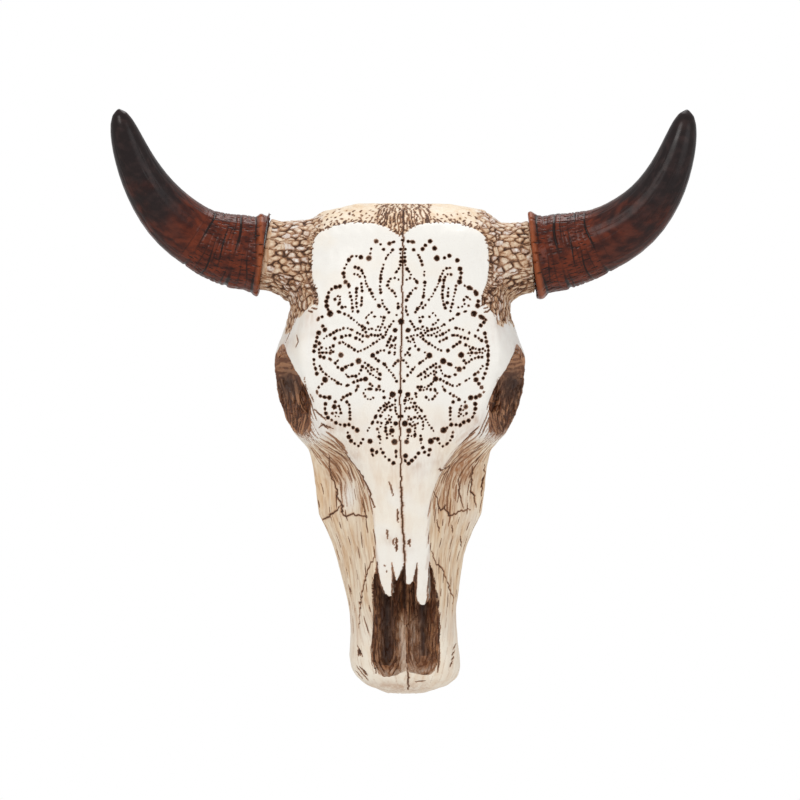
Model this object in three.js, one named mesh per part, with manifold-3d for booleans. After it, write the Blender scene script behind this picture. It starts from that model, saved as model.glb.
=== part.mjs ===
// A wall-hung cow skull, cast in resin and painted: a tooled forehead plate pierced by rows of round pits,
// a carved crown and horn cores, hollow eye sockets, a nasal opening under four broken nasal tips, and a pair
// of dark, ringed horns. The back is flat, with a recess and a steel bar to hang it by.
//
// Millimetres. +X is to the right of the skull as it is looked at, +Z is up, and the face looks along -Y.
// The origin is in the middle of the flat back. A depth is a distance out from the wall, so y = -depth.

import * as THREE from "three";
import { mergeVertices } from "three/addons/utils/BufferGeometryUtils.js";
import Module from "manifold-3d";

// Driving dimensions
const GAP = 0.3; // clearance between neighbouring pieces
const FACE_DEPTH = 106; // the forehead's distance from the wall
const PLATE_THICKNESS = 5;
const HORN_BASE_DEPTH = 52;
const HORN_TIP_DEPTH = 86;
const HORN_FLATNESS = 0.92; // a horn's front-to-back size over its height
const COLLAR_FLARE = 4; // how far the collar at a horn's base stands out
const COLLAR_LENGTH = 9;

// Heights of the landmarks
const CROWN_TOP = 137.5;
const CHIN_BOTTOM = -207;
const CORE_CUT_X = 77.5; // where a horn core leaves the cranium
const CORE_CUT_Z = 61;
const JAW_CUT = -36; // cranium above, upper jaw below
const NASAL_CUT = -44; // forehead plate above, nasal bones below
const TIP_CUT = -150; // upper jaw above, muzzle tip below

// Loft resolution
const RING_LEVELS = 38;
const CROWN_POINTS = 4; // from the middle of the face to the plate's edge
const FLANK_POINTS = 7; // from the plate's edge to the widest place
const REAR_POINTS = 3; // from the widest place to the wall
const HORN_SIDES = 18;
const HORN_LEVELS = 20;

const wasm = await Module();
wasm.setup();

// Smooth curve through [place, value] pairs that never overshoots them.
function profile(pairs) {
  const n = pairs.length;
  const x = pairs.map((p) => p[0]);
  const y = pairs.map((p) => p[1]);
  const slope = x.slice(1).map((_, i) => (y[i + 1] - y[i]) / (x[i + 1] - x[i]));
  const tangent = x.map((_, i) => {
    if (i === 0) return slope[0];
    if (i === n - 1) return slope[n - 2];
    const a = slope[i - 1];
    const b = slope[i];
    return a * b <= 0 ? 0 : (2 * a * b) / (a + b);
  });
  return (at) => {
    const t = Math.min(Math.max(at, x[0]), x[n - 1]);
    let i = 0;
    while (i < n - 2 && t > x[i + 1]) i++;
    const h = x[i + 1] - x[i];
    const s = (t - x[i]) / h;
    const rise = s * s * (3 - 2 * s);
    return (
      y[i] * (1 - rise) +
      y[i + 1] * rise +
      h * s * (1 - s) * ((1 - s) * tangent[i] - s * tangent[i + 1])
    );
  };
}

// The skull's profiles over height z, each with only the points that its shape needs
const halfWidth = profile([
  [CHIN_BOTTOM, 13], [-204.7, 22], [-201.2, 29.3], [-194, 36.7], [-185, 38.9], [-170, 38.2], [-154, 37.5],
  [-125, 42], [-105, 46.5], [-92, 51.5], [-80, 57.5], [-48, 61], [-36, 63.5], [-24, 74], [-12, 81], [2, 86],
  [16, 88.5], [34, 87.5], [46, 82], [64, 77.5], [110, 76], [124, 68], [130, 60], [134, 53], [136.3, 46],
  [CROWN_TOP, 34],
]);
const widestDepth = profile([
  [CHIN_BOTTOM, 25], [-180, 30], [-120, 34], [-60, 42], [-10, 46], [30, 46], [100, 54], [CROWN_TOP, 48],
]);
const frontDepth = profile([
  [CHIN_BOTTOM, 33], [-203, 43], [-192, 53], [-170, 62], [-155, 71], [-145, 79], [-105, 87.5], [-70, 95],
  [-36, 101.5], [0, 105.5], [45, FACE_DEPTH], [90, 101], [115, 93], [127, 82], [134, 69], [CROWN_TOP, 54],
]);
const plateHalf = profile([
  [CHIN_BOTTOM, 8], [-192, 22], [-150, 19], [-95, 19.5], [-75, 20.5], [-60, 24], [-46, 31], [-32, 43],
  [-18, 53], [0, 59], [30, 69], [50, 66], [75, 60], [110, 56], [125, 40], [CROWN_TOP, 12],
]);
const plateDrop = profile([
  [CHIN_BOTTOM, 1], [-190, 4], [-150, 4.5], [-100, 4], [-60, 6], [-20, 10], [20, 10.5], [90, 11], [125, 9],
  [CROWN_TOP, 1],
]);
const fullness = profile([
  [CHIN_BOTTOM, 1], [-180, 0.8], [-140, 0.45], [-90, 0.2], [-55, 0.05], [-24, 0.6], [10, 0.45], [50, 0.5],
  [90, 0.8], [CROWN_TOP, 1],
]);
const backInset = profile([
  [CHIN_BOTTOM, 5], [-170, 6], [-90, 8], [-45, 7], [-10, 15], [30, 19], [80, 10], [120, 9], [CROWN_TOP, 5],
]);
const rearDepth = profile([
  [CHIN_BOTTOM, 17], [-203, 6], [-196, 0], [118, 0], [126, 4], [132, 14], [CROWN_TOP, 38],
]);
const sidewaysShift = profile([
  [CHIN_BOTTOM, 4.6], [-200, 5.2], [-184, 3.6], [-165, 2.6], [-140, 1.7], [-105, 0], [60, 0], [105, 1.4],
  [CROWN_TOP, 3.2],
]);

// Soft hollows pressed into the flanks: [x, z, depth, x reach, z reach]
const FLANK_HOLLOWS = [
  [46, -54, 5.5, 15, 22], // below the eye socket
  [36, -108, 2.5, 9, 26], // along the nasal bones
];
const bump = (off) => Math.exp(-(off ** 2));
const dent = (x, z) =>
  FLANK_HOLLOWS.reduce(
    (sum, [hx, hz, deep, rx, rz]) => sum + deep * bump((x - hx) / rx) * bump((z - hz) / rz),
    0,
  );

// Half of a level section, from the middle of the face round to the wall, as [x, depth] pairs
function halfSection(z, inset) {
  const wide = halfWidth(z);
  const plate = Math.min(plateHalf(z), wide - 3);
  const front = frontDepth(z) - inset;
  const edge = front - plateDrop(z);
  const wideAt = Math.min(widestDepth(z), edge - 2);
  const rear = rearDepth(z);
  const points = [];
  for (let i = 0; i < CROWN_POINTS; i++) {
    const s = i / CROWN_POINTS;
    points.push([plate * s, front - (front - edge) * s * s]);
  }
  for (let i = 0; i < FLANK_POINTS; i++) {
    const s = i / FLANK_POINTS;
    const angle = (s * Math.PI) / 2;
    const full = fullness(z);
    const across = (1 - full) * s + full * Math.sin(angle);
    const down = (1 - full) * s + full * (1 - Math.cos(angle));
    const x = plate + (wide - plate) * across;
    const d = edge - (edge - wideAt) * down;
    points.push([x - 0.6 * dent(x, z), d - 0.8 * dent(x, z)]);
  }
  for (let i = 0; i <= REAR_POINTS; i++) {
    const s = i / REAR_POINTS;
    points.push([wide - backInset(z) * s ** 2.2, wideAt + (rear - wideAt) * s]);
  }
  return points;
}

// A closed body through rings of points that all run the same way round, with a cap on the first and the last
function skin(rings) {
  const n = rings[0].length;
  const positions = rings.flat().flatMap((p) => [p.x, p.y, p.z]);
  const faces = [];
  for (let r = 0; r < rings.length - 1; r++) {
    for (let i = 0; i < n; i++) {
      const a = r * n + i;
      const b = r * n + ((i + 1) % n);
      faces.push(a, b, b + n, a, b + n, a + n);
    }
  }
  for (const [first, flip] of [[0, true], [(rings.length - 1) * n, false]]) {
    const middle = positions.length / 3;
    const centre = new THREE.Vector3();
    rings[first / n].forEach((p) => centre.addScaledVector(p, 1 / n));
    positions.push(centre.x, centre.y, centre.z);
    for (let i = 0; i < n; i++) {
      const a = first + i;
      const b = first + ((i + 1) % n);
      faces.push(...(flip ? [middle, b, a] : [middle, a, b]));
    }
  }
  const g = new THREE.BufferGeometry();
  g.setAttribute("position", new THREE.Float32BufferAttribute(positions, 3));
  g.setIndex(faces);
  return g;
}

// A manifold-3d solid from a closed geometry, turned to face outwards
function solid(geometry) {
  const g = geometry.clone();
  g.deleteAttribute("normal");
  g.deleteAttribute("uv");
  const merged = mergeVertices(g, 1e-4);
  const vertProperties = merged.attributes.position.array;
  const make = (triVerts) => new wasm.Manifold(new wasm.Mesh({ numProp: 3, vertProperties, triVerts }));
  const triVerts = new Uint32Array(merged.index.array);
  const made = make(triVerts);
  return made.volume() > 0 ? made : make(triVerts.reverse());
}

// Points evenly round a circle, as [x, z]
function circle(cx, cz, radius, count) {
  return Array.from({ length: count }, (_, i) => {
    const a = (2 * Math.PI * i) / count;
    return [cx + radius * Math.cos(a), cz + radius * Math.sin(a)];
  });
}

// The largest closed body of a solid, as a mesh
function piece(name, body, colour, roughness, metalness = 0) {
  const largest = body.decompose().reduce((a, b) => (b.volume() > a.volume() ? b : a));
  const m = largest.getMesh();
  const g = new THREE.BufferGeometry();
  const points = new Float32Array(m.numVert * 3);
  for (let i = 0; i < m.numVert; i++) {
    points.set(m.vertProperties.subarray(i * m.numProp, i * m.numProp + 3), i * 3);
  }
  g.setAttribute("position", new THREE.BufferAttribute(points, 3));
  g.setIndex(new THREE.BufferAttribute(m.triVerts, 1));
  g.computeVertexNormals();
  const mesh = new THREE.Mesh(g, new THREE.MeshStandardMaterial({ color: colour, roughness, metalness }));
  mesh.name = name;
  return mesh;
}

// The skull's whole outer form, with its face set back by inset
function skullForm(inset = 0) {
  const rings = [];
  for (let level = 0; level <= RING_LEVELS; level++) {
    const even = level / RING_LEVELS;
    const eased = 0.5 - 0.5 * Math.cos(even * Math.PI); // closer levels where the ends round off
    const z = CHIN_BOTTOM + (CROWN_TOP - CHIN_BOTTOM) * (0.45 * eased + 0.55 * even);
    const half = halfSection(z, inset);
    const shift = sidewaysShift(z);
    const right = half.map(([x, d]) => new THREE.Vector3(x + shift, -d, z));
    const left = half
      .slice(1)
      .reverse()
      .map(([x, d]) => new THREE.Vector3(-x + shift, -d, z));
    rings.push([...right, ...left]);
  }
  return solid(skin(rings));
}

// An outline of [x, z] pairs, pushed through from one depth to another
function prism(outline, from, to) {
  const shape = new THREE.Shape(outline.map(([x, z]) => new THREE.Vector2(x, z)));
  const g = new THREE.ExtrudeGeometry(shape, { depth: to - from, bevelEnabled: false });
  return solid(g.translate(0, 0, from).rotateX(Math.PI / 2));
}

// The outline moved outwards by a distance, or inwards if it is negative
function grown(outline, distance) {
  const area = outline.reduce((sum, [x, z], i) => {
    const [nx, nz] = outline[(i + 1) % outline.length];
    return sum + x * nz - nx * z;
  }, 0);
  const side = Math.sign(area) * distance;
  return outline.map(([x, z], i) => {
    const [px, pz] = outline[(i + outline.length - 1) % outline.length];
    const [nx, nz] = outline[(i + 1) % outline.length];
    const before = new THREE.Vector2(x - px, z - pz).normalize();
    const after = new THREE.Vector2(nx - x, nz - z).normalize();
    const along = before.clone().add(after).normalize();
    const stretch = 1 / Math.max(0.5, Math.sqrt((1 + before.dot(after)) / 2));
    return [x + along.y * side * stretch, z - along.x * side * stretch];
  });
}

// A box between two corners given as [x, depth, z]
function block([x0, d0, z0], [x1, d1, z1]) {
  const g = new THREE.BoxGeometry(x1 - x0, d1 - d0, z1 - z0);
  return solid(g.translate((x0 + x1) / 2, -(d0 + d1) / 2, (z0 + z1) / 2));
}

// An ellipsoid with half sizes [across, along the way it faces, up], turned round from the front towards a
// side, and its top leaned outwards
function bowl(side, centre, size, facing, lean) {
  const turn = new THREE.Matrix4().makeRotationZ(side * THREE.MathUtils.degToRad(facing));
  const tilt = new THREE.Matrix4().makeRotationY(side * THREE.MathUtils.degToRad(lean));
  const m = turn.multiply(tilt).scale(new THREE.Vector3(...size));
  m.setPosition(side * centre[0], -centre[1], centre[2]);
  return solid(new THREE.SphereGeometry(1, 18, 12).applyMatrix4(m));
}

// Horns: a centre line in the picture plane, and a depth that grows from the base to the tip
const HORN_LINES = {
  left: [[-95.1, 102.1], [-168.6, 102.4], [-188.2, 170.8], [-194.2, 200.9]],
  right: [[92.6, 100.3], [144.7, 107.6], [184.9, 119], [198.2, 200.5]],
};
const HORN_DEPTHS = [HORN_BASE_DEPTH, HORN_BASE_DEPTH + 4, HORN_TIP_DEPTH - 8, HORN_TIP_DEPTH];
const HORN_SIZE = { left: 1, right: 1.04 };
const COLLAR_LEAN = { left: 10, right: 5.1 }; // how far a horn's base looks upwards, in degrees
const STRAIGHTENED = 0.22; // by this share of its length a horn's section stands square to its centre line

// A horn's radius over the share of its length from the base
const hornTaper = profile([
  [0, 26], [0.1, 25.4], [0.2, 23.6], [0.3, 21.8], [0.45, 19.8], [0.6, 16.8], [0.75, 13.6], [0.88, 10.4],
  [0.95, 7.4], [0.985, 4.2], [1, 0.8],
]);

// Growth rings near the base: [distance from the base, height, half width]
const GROWTH_RINGS = [[19, 1.2, 3.2], [29, 0.9, 2.6], [39, 0.8, 3]];

function hornRadius(side, u, length) {
  const along = u * length;
  const flare = COLLAR_FLARE * bump(Math.max(along - COLLAR_LENGTH / 3, 0) / (COLLAR_LENGTH / 2));
  const rings = GROWTH_RINGS.map(([at, high, spread]) => high * bump((along - at) / spread));
  return HORN_SIZE[side] * (hornTaper(u) + flare + rings.reduce((a, b) => a + b, 0));
}

function hornCurve(side) {
  const points = HORN_LINES[side].map(([x, z], i) => new THREE.Vector3(x, -HORN_DEPTHS[i], z));
  return new THREE.CubicBezierCurve3(...points);
}

// The direction that a horn's base faces
function baseNormal(side) {
  const lean = THREE.MathUtils.degToRad(COLLAR_LEAN[side]);
  return new THREE.Vector3(SIDES[side] * Math.cos(lean), 0, Math.sin(lean));
}

// An oval ring of points round a centre, square to a direction
function ovalRing(centre, direction, high, deep) {
  const forward = new THREE.Vector3(0, -1, 0).projectOnPlane(direction).normalize();
  const up = new THREE.Vector3().crossVectors(direction, forward);
  return Array.from({ length: HORN_SIDES }, (_, i) => {
    const a = (2 * Math.PI * i) / HORN_SIDES;
    return centre
      .clone()
      .addScaledVector(up, high * Math.cos(a))
      .addScaledVector(forward, deep * Math.sin(a));
  });
}

function horn(side) {
  const curve = hornCurve(side);
  const length = curve.getLength();
  const rings = [];
  for (let i = 0; i <= HORN_LEVELS; i++) {
    const u = 1 - (1 - i / HORN_LEVELS) ** 1.25;
    const square = THREE.MathUtils.smoothstep(u, 0, STRAIGHTENED);
    const direction = baseNormal(side).lerp(curve.getTangentAt(u), square).normalize();
    const radius = hornRadius(side, u, length);
    rings.push(ovalRing(curve.getPointAt(u), direction, radius, radius * HORN_FLATNESS));
  }
  return solid(skin(rings));
}

// A horn core leaves the side of the crown thick, and narrows to meet the horn's base face to face. Each
// step is a distance back from that base, then half the height, half the depth, and how far the centre has
// dropped.
const CORE_STEPS = [
  [0, 26.2, 23.5, 0], [3, 25.2, 22.5, 0.4], [9, 25.6, 23.5, 1.6], [17, 28.4, 26, 4.4], [26, 31, 29, 6.6],
  [44, 30, 30, 8], [64, 24, 24, 8],
];
const CORE_LENGTH = 64;

function hornCore(side) {
  const end = hornCurve(side).getPointAt(0).addScaledVector(baseNormal(side), -GAP);
  const inwards = new THREE.Vector3(SIDES[side], 0, 0);
  const rings = CORE_STEPS.map(([back, high, deep, drop]) => {
    const centre = end.clone().addScaledVector(inwards, -back);
    centre.z -= drop;
    const direction = baseNormal(side).lerp(inwards, Math.min(1, back / (CORE_LENGTH / 2))).normalize();
    return ovalRing(centre, direction, high, deep);
  });
  return solid(skin(rings));
}

// Eye socket: an ellipsoid hollow that looks out to the side, a lining in it, and a deeper pit in the lining.
// Its half sizes are across, along the way it faces, and up.
const SOCKET = { centre: [76, 65, 1.5], size: [31, 20, 33], facing: 57, lean: 14 };
const SOCKET_PIT = { deep: 14, size: [9, 4.5, 10] };
const LINING = 7;

// A place straight out of a socket's middle, at a distance along the way it faces
function outOfSocket(distance) {
  const angle = THREE.MathUtils.degToRad(SOCKET.facing);
  const [x, depth, z] = SOCKET.centre;
  return [x + distance * Math.sin(angle), depth + distance * Math.cos(angle), z];
}

const socketHollow = (side) => bowl(side, SOCKET.centre, SOCKET.size, SOCKET.facing, SOCKET.lean);

function socketLining(side, form) {
  const fitted = SOCKET.size.map((s) => s - GAP);
  const outer = bowl(side, SOCKET.centre, fitted, SOCKET.facing, SOCKET.lean);
  const inner = bowl(side, outOfSocket(LINING), SOCKET.size, SOCKET.facing, SOCKET.lean);
  const pit = bowl(side, outOfSocket(-SOCKET_PIT.deep), SOCKET_PIT.size, SOCKET.facing, SOCKET.lean);
  return outer.intersect(form).subtract(inner).subtract(pit);
}

// Outlines in the picture plane, as [x, z]: the right half, mirrored to the left
const mirrored = (half) => [...half, ...half.filter(([x]) => x > 0).reverse().map(([x, z]) => [-x, z])];

const PLATE_OUTLINE = mirrored([
  [0, 113], [4, 115], [10, 119.5], [22, 122.5], [38, 122.5], [51, 118.5], [59, 112], [61, 100], [60.5, 84],
  [57, 74], [56, 66], [61, 56], [66, 46], [67, 34], [63, 18], [57.5, 0], [53, -14], [44, -28],
  [33, NASAL_CUT + GAP / 2], [0, NASAL_CUT + GAP / 2],
]);

// The tooled ornament: curves of round pits on the right half of the plate, mirrored to the left
const PIT_CURVES = [
  [[3, 109], [8, 104], [11.5, 100], [15, 104], [18.5, 109], [22, 104], [25, 98]],
  [[30, 98], [36, 97.5], [40, 90], [39.5, 81]],
  [[45, 79], [51, 73], [52.5, 66], [49.5, 59]],
  [[56, 56], [53.5, 49], [58, 42], [60, 33], [59, 25], [56.5, 17], [51, 13]],
  [[56, 8], [53.5, 2], [50, -5], [46, -13], [38, -18], [30, -20]],
  [[36, -23], [30, -31], [23, -26], [17, -33], [11, -36], [4, -39]],
  [[0.5, 54], [5, 48], [10, 40], [5, 34], [0.5, 29]],
  [[0.5, 18], [7, 23], [16, 32], [22, 31], [16, 25], [7, 16], [0.5, 7]],
  [[14, 96], [17, 84], [15, 72], [10, 62]],
];
const PIT_SPACING = 7;
const PIT_RADIUS = 1.7;
const PIT_DEPTH = 2.4;
const PIT_SIDES = 5;

function pits() {
  const bores = PIT_CURVES.flatMap((points, which) => {
    const curve = new THREE.CatmullRomCurve3(points.map(([x, z]) => new THREE.Vector3(x, 0, z)));
    const count = Math.round(curve.getLength() / PIT_SPACING);
    return curve.getSpacedPoints(count).flatMap(({ x, z }, i) => {
      const radius = PIT_RADIUS * (1 + 0.22 * Math.sin(2.3 * i + which));
      const bottom = frontDepth(z) - plateDrop(z) * (x / plateHalf(z)) ** 2 - PIT_DEPTH;
      return [x + 1, 1 - x].map((at) => prism(circle(at, z, radius, PIT_SIDES), bottom, FACE_DEPTH + 2));
    });
  });
  return wasm.Manifold.union(bores);
}

// The nasal bones run down from the plate and end in four broken tips
const NASAL_SHIFT = 2.4;
const NASAL_OUTLINE = [
  [33, NASAL_CUT - GAP / 2], [26, -54], [21, -68], [18.8, -88], [18.5, -112], [18.2, -132], [17.4, -139.5],
  [14.5, -143], [11, -142.4], [8.3, -138.2], [8.1, -131], [9.8, -112], [6.6, -125.4], [5, -128], [2.2, -128],
  [0.9, -126.4], [0.9, -110], [-1.8, -120.2], [-4.1, -125.5], [-5.8, -124.7], [-8.2, -111], [-7.6, -124],
  [-6.7, -131], [-7.4, -135.6], [-10.7, -136.5], [-13.5, -133.9], [-16.1, -127.6], [-18, -118],
  [-18.6, -111], [-19, -88], [-21.5, -68], [-26.5, -54], [-33, NASAL_CUT - GAP / 2],
].map(([x, z]) => [x + (NASAL_SHIFT * (z - NASAL_CUT)) / (TIP_CUT - NASAL_CUT), z]);

// The nasal opening, and the dark relief on its floor
const OPENING_FLOOR = 26;
const OPENING_OUTLINE = [
  [21, -112], [23.5, -124], [26, -140], [27.2, -158], [26.5, -178], [24, -190], [18, -192.5], [9, -191],
  [3.5, -189.5], [-3, -192.5], [-12, -193.5], [-17.5, -188], [-19.5, -176], [-18.5, -150], [-18.5, -128],
  [-16.5, -112],
];
const septumHeight = profile([[-200, 50], [-186, 49], [-160, 48], [-140, 46], [-105, 44]]);

// The floor of the nasal opening: two long troughs, the ridge between them, and a rim that rises at the edges
const FLOOR_THICKNESS = 8;
const RIDGE = { at: 3.6, spread: 4.6 };
const RIM = { away: 24, spread: 6, high: 16 };
const LOWER_RIM = { z: -196, spread: 9, high: 14 };
const FLOOR_SHEET = { x: [-26, 34], z: [-200, -104], columns: 18, rows: 16 };

function openingFloor() {
  const { x: [x0, x1], z: [z0, z1], columns, rows } = FLOOR_SHEET;
  const low = OPENING_FLOOR + FLOOR_THICKNESS;
  const rings = [];
  for (let r = 0; r <= rows; r++) {
    const z = z0 + ((z1 - z0) * r) / rows;
    const top = Array.from({ length: columns + 1 }, (_, c) => {
      const x = x0 + ((x1 - x0) * c) / columns;
      const off = x - RIDGE.at;
      const ridge = (septumHeight(z) - low) * bump(off / RIDGE.spread);
      const rim = RIM.high * bump((Math.abs(off) - RIM.away) / RIM.spread);
      const lowerRim = LOWER_RIM.high * bump((z - LOWER_RIM.z) / LOWER_RIM.spread);
      return new THREE.Vector3(x, -(low + ridge + rim + lowerRim), z);
    });
    const bottom = [x1, x0].map((x) => new THREE.Vector3(x, -OPENING_FLOOR - GAP, z));
    rings.push([...top, ...bottom]);
  }
  return solid(skin(rings)).intersect(prism(grown(OPENING_OUTLINE, -GAP), 0, FACE_DEPTH));
}

// The seam down the middle of the face
const SEAM_WIDTH = 1.3;
const SEAM_DEPTH = 1.3;
const seamSway = profile([[CHIN_BOTTOM, 6], [-120, 3.6], [-60, 0.7], [0, 0], [60, 1.4], [CROWN_TOP, 2.6]]);

function seam(top, bottom, steps) {
  const rings = [];
  for (let i = 0; i <= steps; i++) {
    const z = bottom + ((top - bottom) * i) / steps;
    const x = seamSway(z) + 0.35 * Math.sin(i * 2.3);
    const d = frontDepth(z);
    rings.push([
      new THREE.Vector3(x - SEAM_WIDTH / 2, -d - 1, z),
      new THREE.Vector3(x, -d + SEAM_DEPTH, z),
      new THREE.Vector3(x + SEAM_WIDTH / 2, -d - 1, z),
    ]);
  }
  return solid(skin(rings));
}

// To hang it by: a recess in the back with a steel bar across it, its ends set into the recess's sides
const HANGER = { height: 95, width: 26, tall: 20, deep: 8, corner: 3 };
const BAR = { radius: 1.5, length: 34, raised: 5, deep: 3.5, sides: 12 };

function hangerRecess() {
  const [w, h] = [HANGER.width / 2 - HANGER.corner, HANGER.tall / 2 - HANGER.corner];
  const corners = [[w, h], [-w, h], [-w, -h], [w, -h]].flatMap(([cx, cz], quarter) =>
    Array.from({ length: 4 }, (_, i) => {
      const a = ((quarter + i / 3) * Math.PI) / 2;
      return [cx + HANGER.corner * Math.cos(a), HANGER.height + cz + HANGER.corner * Math.sin(a)];
    }),
  );
  return prism(corners, -1, HANGER.deep);
}

function bar(clearance = 0) {
  const length = BAR.length + 2 * clearance;
  const g = new THREE.CylinderGeometry(BAR.radius + clearance, BAR.radius + clearance, length, BAR.sides);
  return solid(g.rotateZ(Math.PI / 2).translate(0, -BAR.deep, HANGER.height + BAR.raised));
}

// Paint
const IVORY = "#e9e2d6";
const BONE = "#d8c3a0";
const CARVED = "#c3a57c";
const SOCKET_BROWN = "#6b4427";
const NASAL_BROWN = "#4a2a18";
const HORN_BROWN = "#4b261b";
const STEEL = "#9a9a98";

const SIDES = { left: -1, right: 1 };
const outer = skullForm();
const core = skullForm(PLATE_THICKNESS);
const coreClear = skullForm(PLATE_THICKNESS + GAP);

// The plate and the nasal bones are skins on the face; what is left is cut back to clear them.
const seamCut = seam(CROWN_TOP + 2, -105, 44);
const chinSeam = seam(-168, CHIN_BOTTOM - 2, 8);
const IN_FRONT = FACE_DEPTH + 10;
const shell = outer.subtract(core).subtract(seamCut);
const plate = shell.intersect(prism(PLATE_OUTLINE, 0, IN_FRONT)).subtract(pits());
const nasal = shell.intersect(prism(NASAL_OUTLINE, 0, IN_FRONT));
const faceBed = prism(grown(PLATE_OUTLINE, GAP), 0, IN_FRONT)
  .add(prism(grown(NASAL_OUTLINE, GAP), 0, IN_FRONT))
  .subtract(coreClear);

let skull = outer;
for (const side of Object.keys(SIDES)) skull = skull.add(hornCore(side));
skull = skull.subtract(faceBed).subtract(seamCut).subtract(chinSeam);
skull = skull.subtract(prism(OPENING_OUTLINE, OPENING_FLOOR, IN_FRONT));
skull = skull.subtract(hangerRecess()).subtract(bar(GAP));
for (const side of Object.values(SIDES)) skull = skull.subtract(socketHollow(side));

// Thin cuts part the skull into the pieces that a person would name
const FAR = 300;
const half = GAP / 2;
const above = (z) => block([-FAR, -FAR, z + half], [FAR, FAR, FAR]);
const below = (z) => block([-FAR, -FAR, -FAR], [FAR, FAR, z - half]);

// The space of a horn core, beyond the side of the cranium, moved out by a distance
function coreRegion(side, out) {
  const [x0, x1] = side < 0 ? [-FAR, -CORE_CUT_X - out] : [CORE_CUT_X + out, FAR];
  return block([x0, -FAR, CORE_CUT_Z + out], [x1, FAR, FAR]);
}

let cranium = skull.intersect(above(JAW_CUT));
for (const side of Object.values(SIDES)) cranium = cranium.subtract(coreRegion(side, -half));
const jaw = skull.intersect(below(JAW_CUT)).intersect(above(TIP_CUT));
const muzzleTip = skull.intersect(below(TIP_CUT));

const group = new THREE.Group();
group.name = "cow_skull";
group.add(piece("cranium", cranium, BONE, 0.55));
group.add(piece("forehead_plate", plate, IVORY, 0.4));
group.add(piece("nasal_bones", nasal, IVORY, 0.4));
group.add(piece("upper_jaw", jaw, BONE, 0.55));
group.add(piece("muzzle_tip", muzzleTip, IVORY, 0.5));
group.add(piece("nasal_floor", openingFloor(), NASAL_BROWN, 0.5));
for (const [name, side] of Object.entries(SIDES)) {
  group.add(piece(`horn_core_${name}`, skull.intersect(coreRegion(side, half)), CARVED, 0.6));
  group.add(piece(`horn_${name}`, horn(name), HORN_BROWN, 0.35));
  group.add(piece(`eye_socket_${name}`, socketLining(side, outer), SOCKET_BROWN, 0.65));
}
group.add(piece("hanging_bar", bar(), STEEL, 0.35, 1));

export default group;
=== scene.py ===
# %% [markdown]
# A cast cow skull for a wall, painted like old bone
# The real thing is one resin casting with a painted finish: a smooth ivory forehead bored with rows of
# pits, a crown cut all over with a gouge, brown combed eye sockets, a dark nasal opening, and two dark horns.
# The CAD frame has its exact form in thirteen plain solids. Here copies of those solids are fused into one
# skin, smoothed, carved with small cuts as a modeller carves clay, and painted. The cuts are real geometry,
# and each one also leaves dark wash in an attribute, which the paint reads.

import math

import bpy
import numpy as np
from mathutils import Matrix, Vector
from mathutils.kdtree import KDTree


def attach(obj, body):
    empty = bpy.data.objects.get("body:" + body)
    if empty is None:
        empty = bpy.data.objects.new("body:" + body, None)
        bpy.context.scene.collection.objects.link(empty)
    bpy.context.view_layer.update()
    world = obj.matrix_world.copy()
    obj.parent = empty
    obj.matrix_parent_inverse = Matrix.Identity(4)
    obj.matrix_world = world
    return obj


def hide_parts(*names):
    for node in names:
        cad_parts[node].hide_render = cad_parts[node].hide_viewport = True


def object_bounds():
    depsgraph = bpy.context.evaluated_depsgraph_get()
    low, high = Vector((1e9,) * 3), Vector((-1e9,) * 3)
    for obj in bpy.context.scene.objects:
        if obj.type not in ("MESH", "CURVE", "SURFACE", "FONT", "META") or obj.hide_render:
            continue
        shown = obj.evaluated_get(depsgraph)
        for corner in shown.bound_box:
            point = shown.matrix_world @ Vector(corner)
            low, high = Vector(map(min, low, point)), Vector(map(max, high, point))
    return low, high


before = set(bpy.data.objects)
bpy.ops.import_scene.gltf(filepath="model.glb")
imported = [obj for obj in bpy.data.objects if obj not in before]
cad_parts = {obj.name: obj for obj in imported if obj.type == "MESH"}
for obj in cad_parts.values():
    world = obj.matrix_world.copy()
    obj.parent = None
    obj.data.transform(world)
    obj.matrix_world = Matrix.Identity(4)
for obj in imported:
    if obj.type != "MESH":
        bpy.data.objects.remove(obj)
cad_box = [list(corner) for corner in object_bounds()]
MM = 0.001
print("CAD box, mm:", [[round(c / MM, 1) for c in corner] for corner in cad_box])

# %% [markdown]
# Camera, light and stage come first. The photo is a studio shot taken straight on from a few metres, so a
# long lens looks along +Y at the middle of the back. A large soft lamp from the upper left gives the form, a
# weaker one from the right fills it, and one from behind lights the top.

# %% Camera and lamps
REFERENCE_DEPTH = 50 * MM
CAMERA_DISTANCE = 2400 * MM
SENSOR_WIDTH = 36.0
VIEW_WIDTH = 560 * MM
LAMPS = {
    # name: place, size in metres, watts, colour
    "key_lamp": ((-0.9, -2.1, 1.1), 0.9, 15.5, (1.0, 0.99, 0.97)),
    "fill_lamp": ((1.6, -1.9, 0.3), 1.4, 8, (0.96, 0.98, 1.0)),
    "rim_lamp": ((0.2, 0.5, 1.6), 1.0, 10, (1.0, 1.0, 1.0)),
}

camera = bpy.data.objects.new("camera", bpy.data.cameras.new("camera"))
camera.location = (0, -REFERENCE_DEPTH - CAMERA_DISTANCE, 0)
camera.rotation_euler = (math.pi / 2, 0, 0)
camera.data.sensor_width = SENSOR_WIDTH
camera.data.lens = SENSOR_WIDTH * CAMERA_DISTANCE / VIEW_WIDTH
bpy.context.collection.objects.link(camera)
bpy.context.scene.camera = camera

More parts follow.
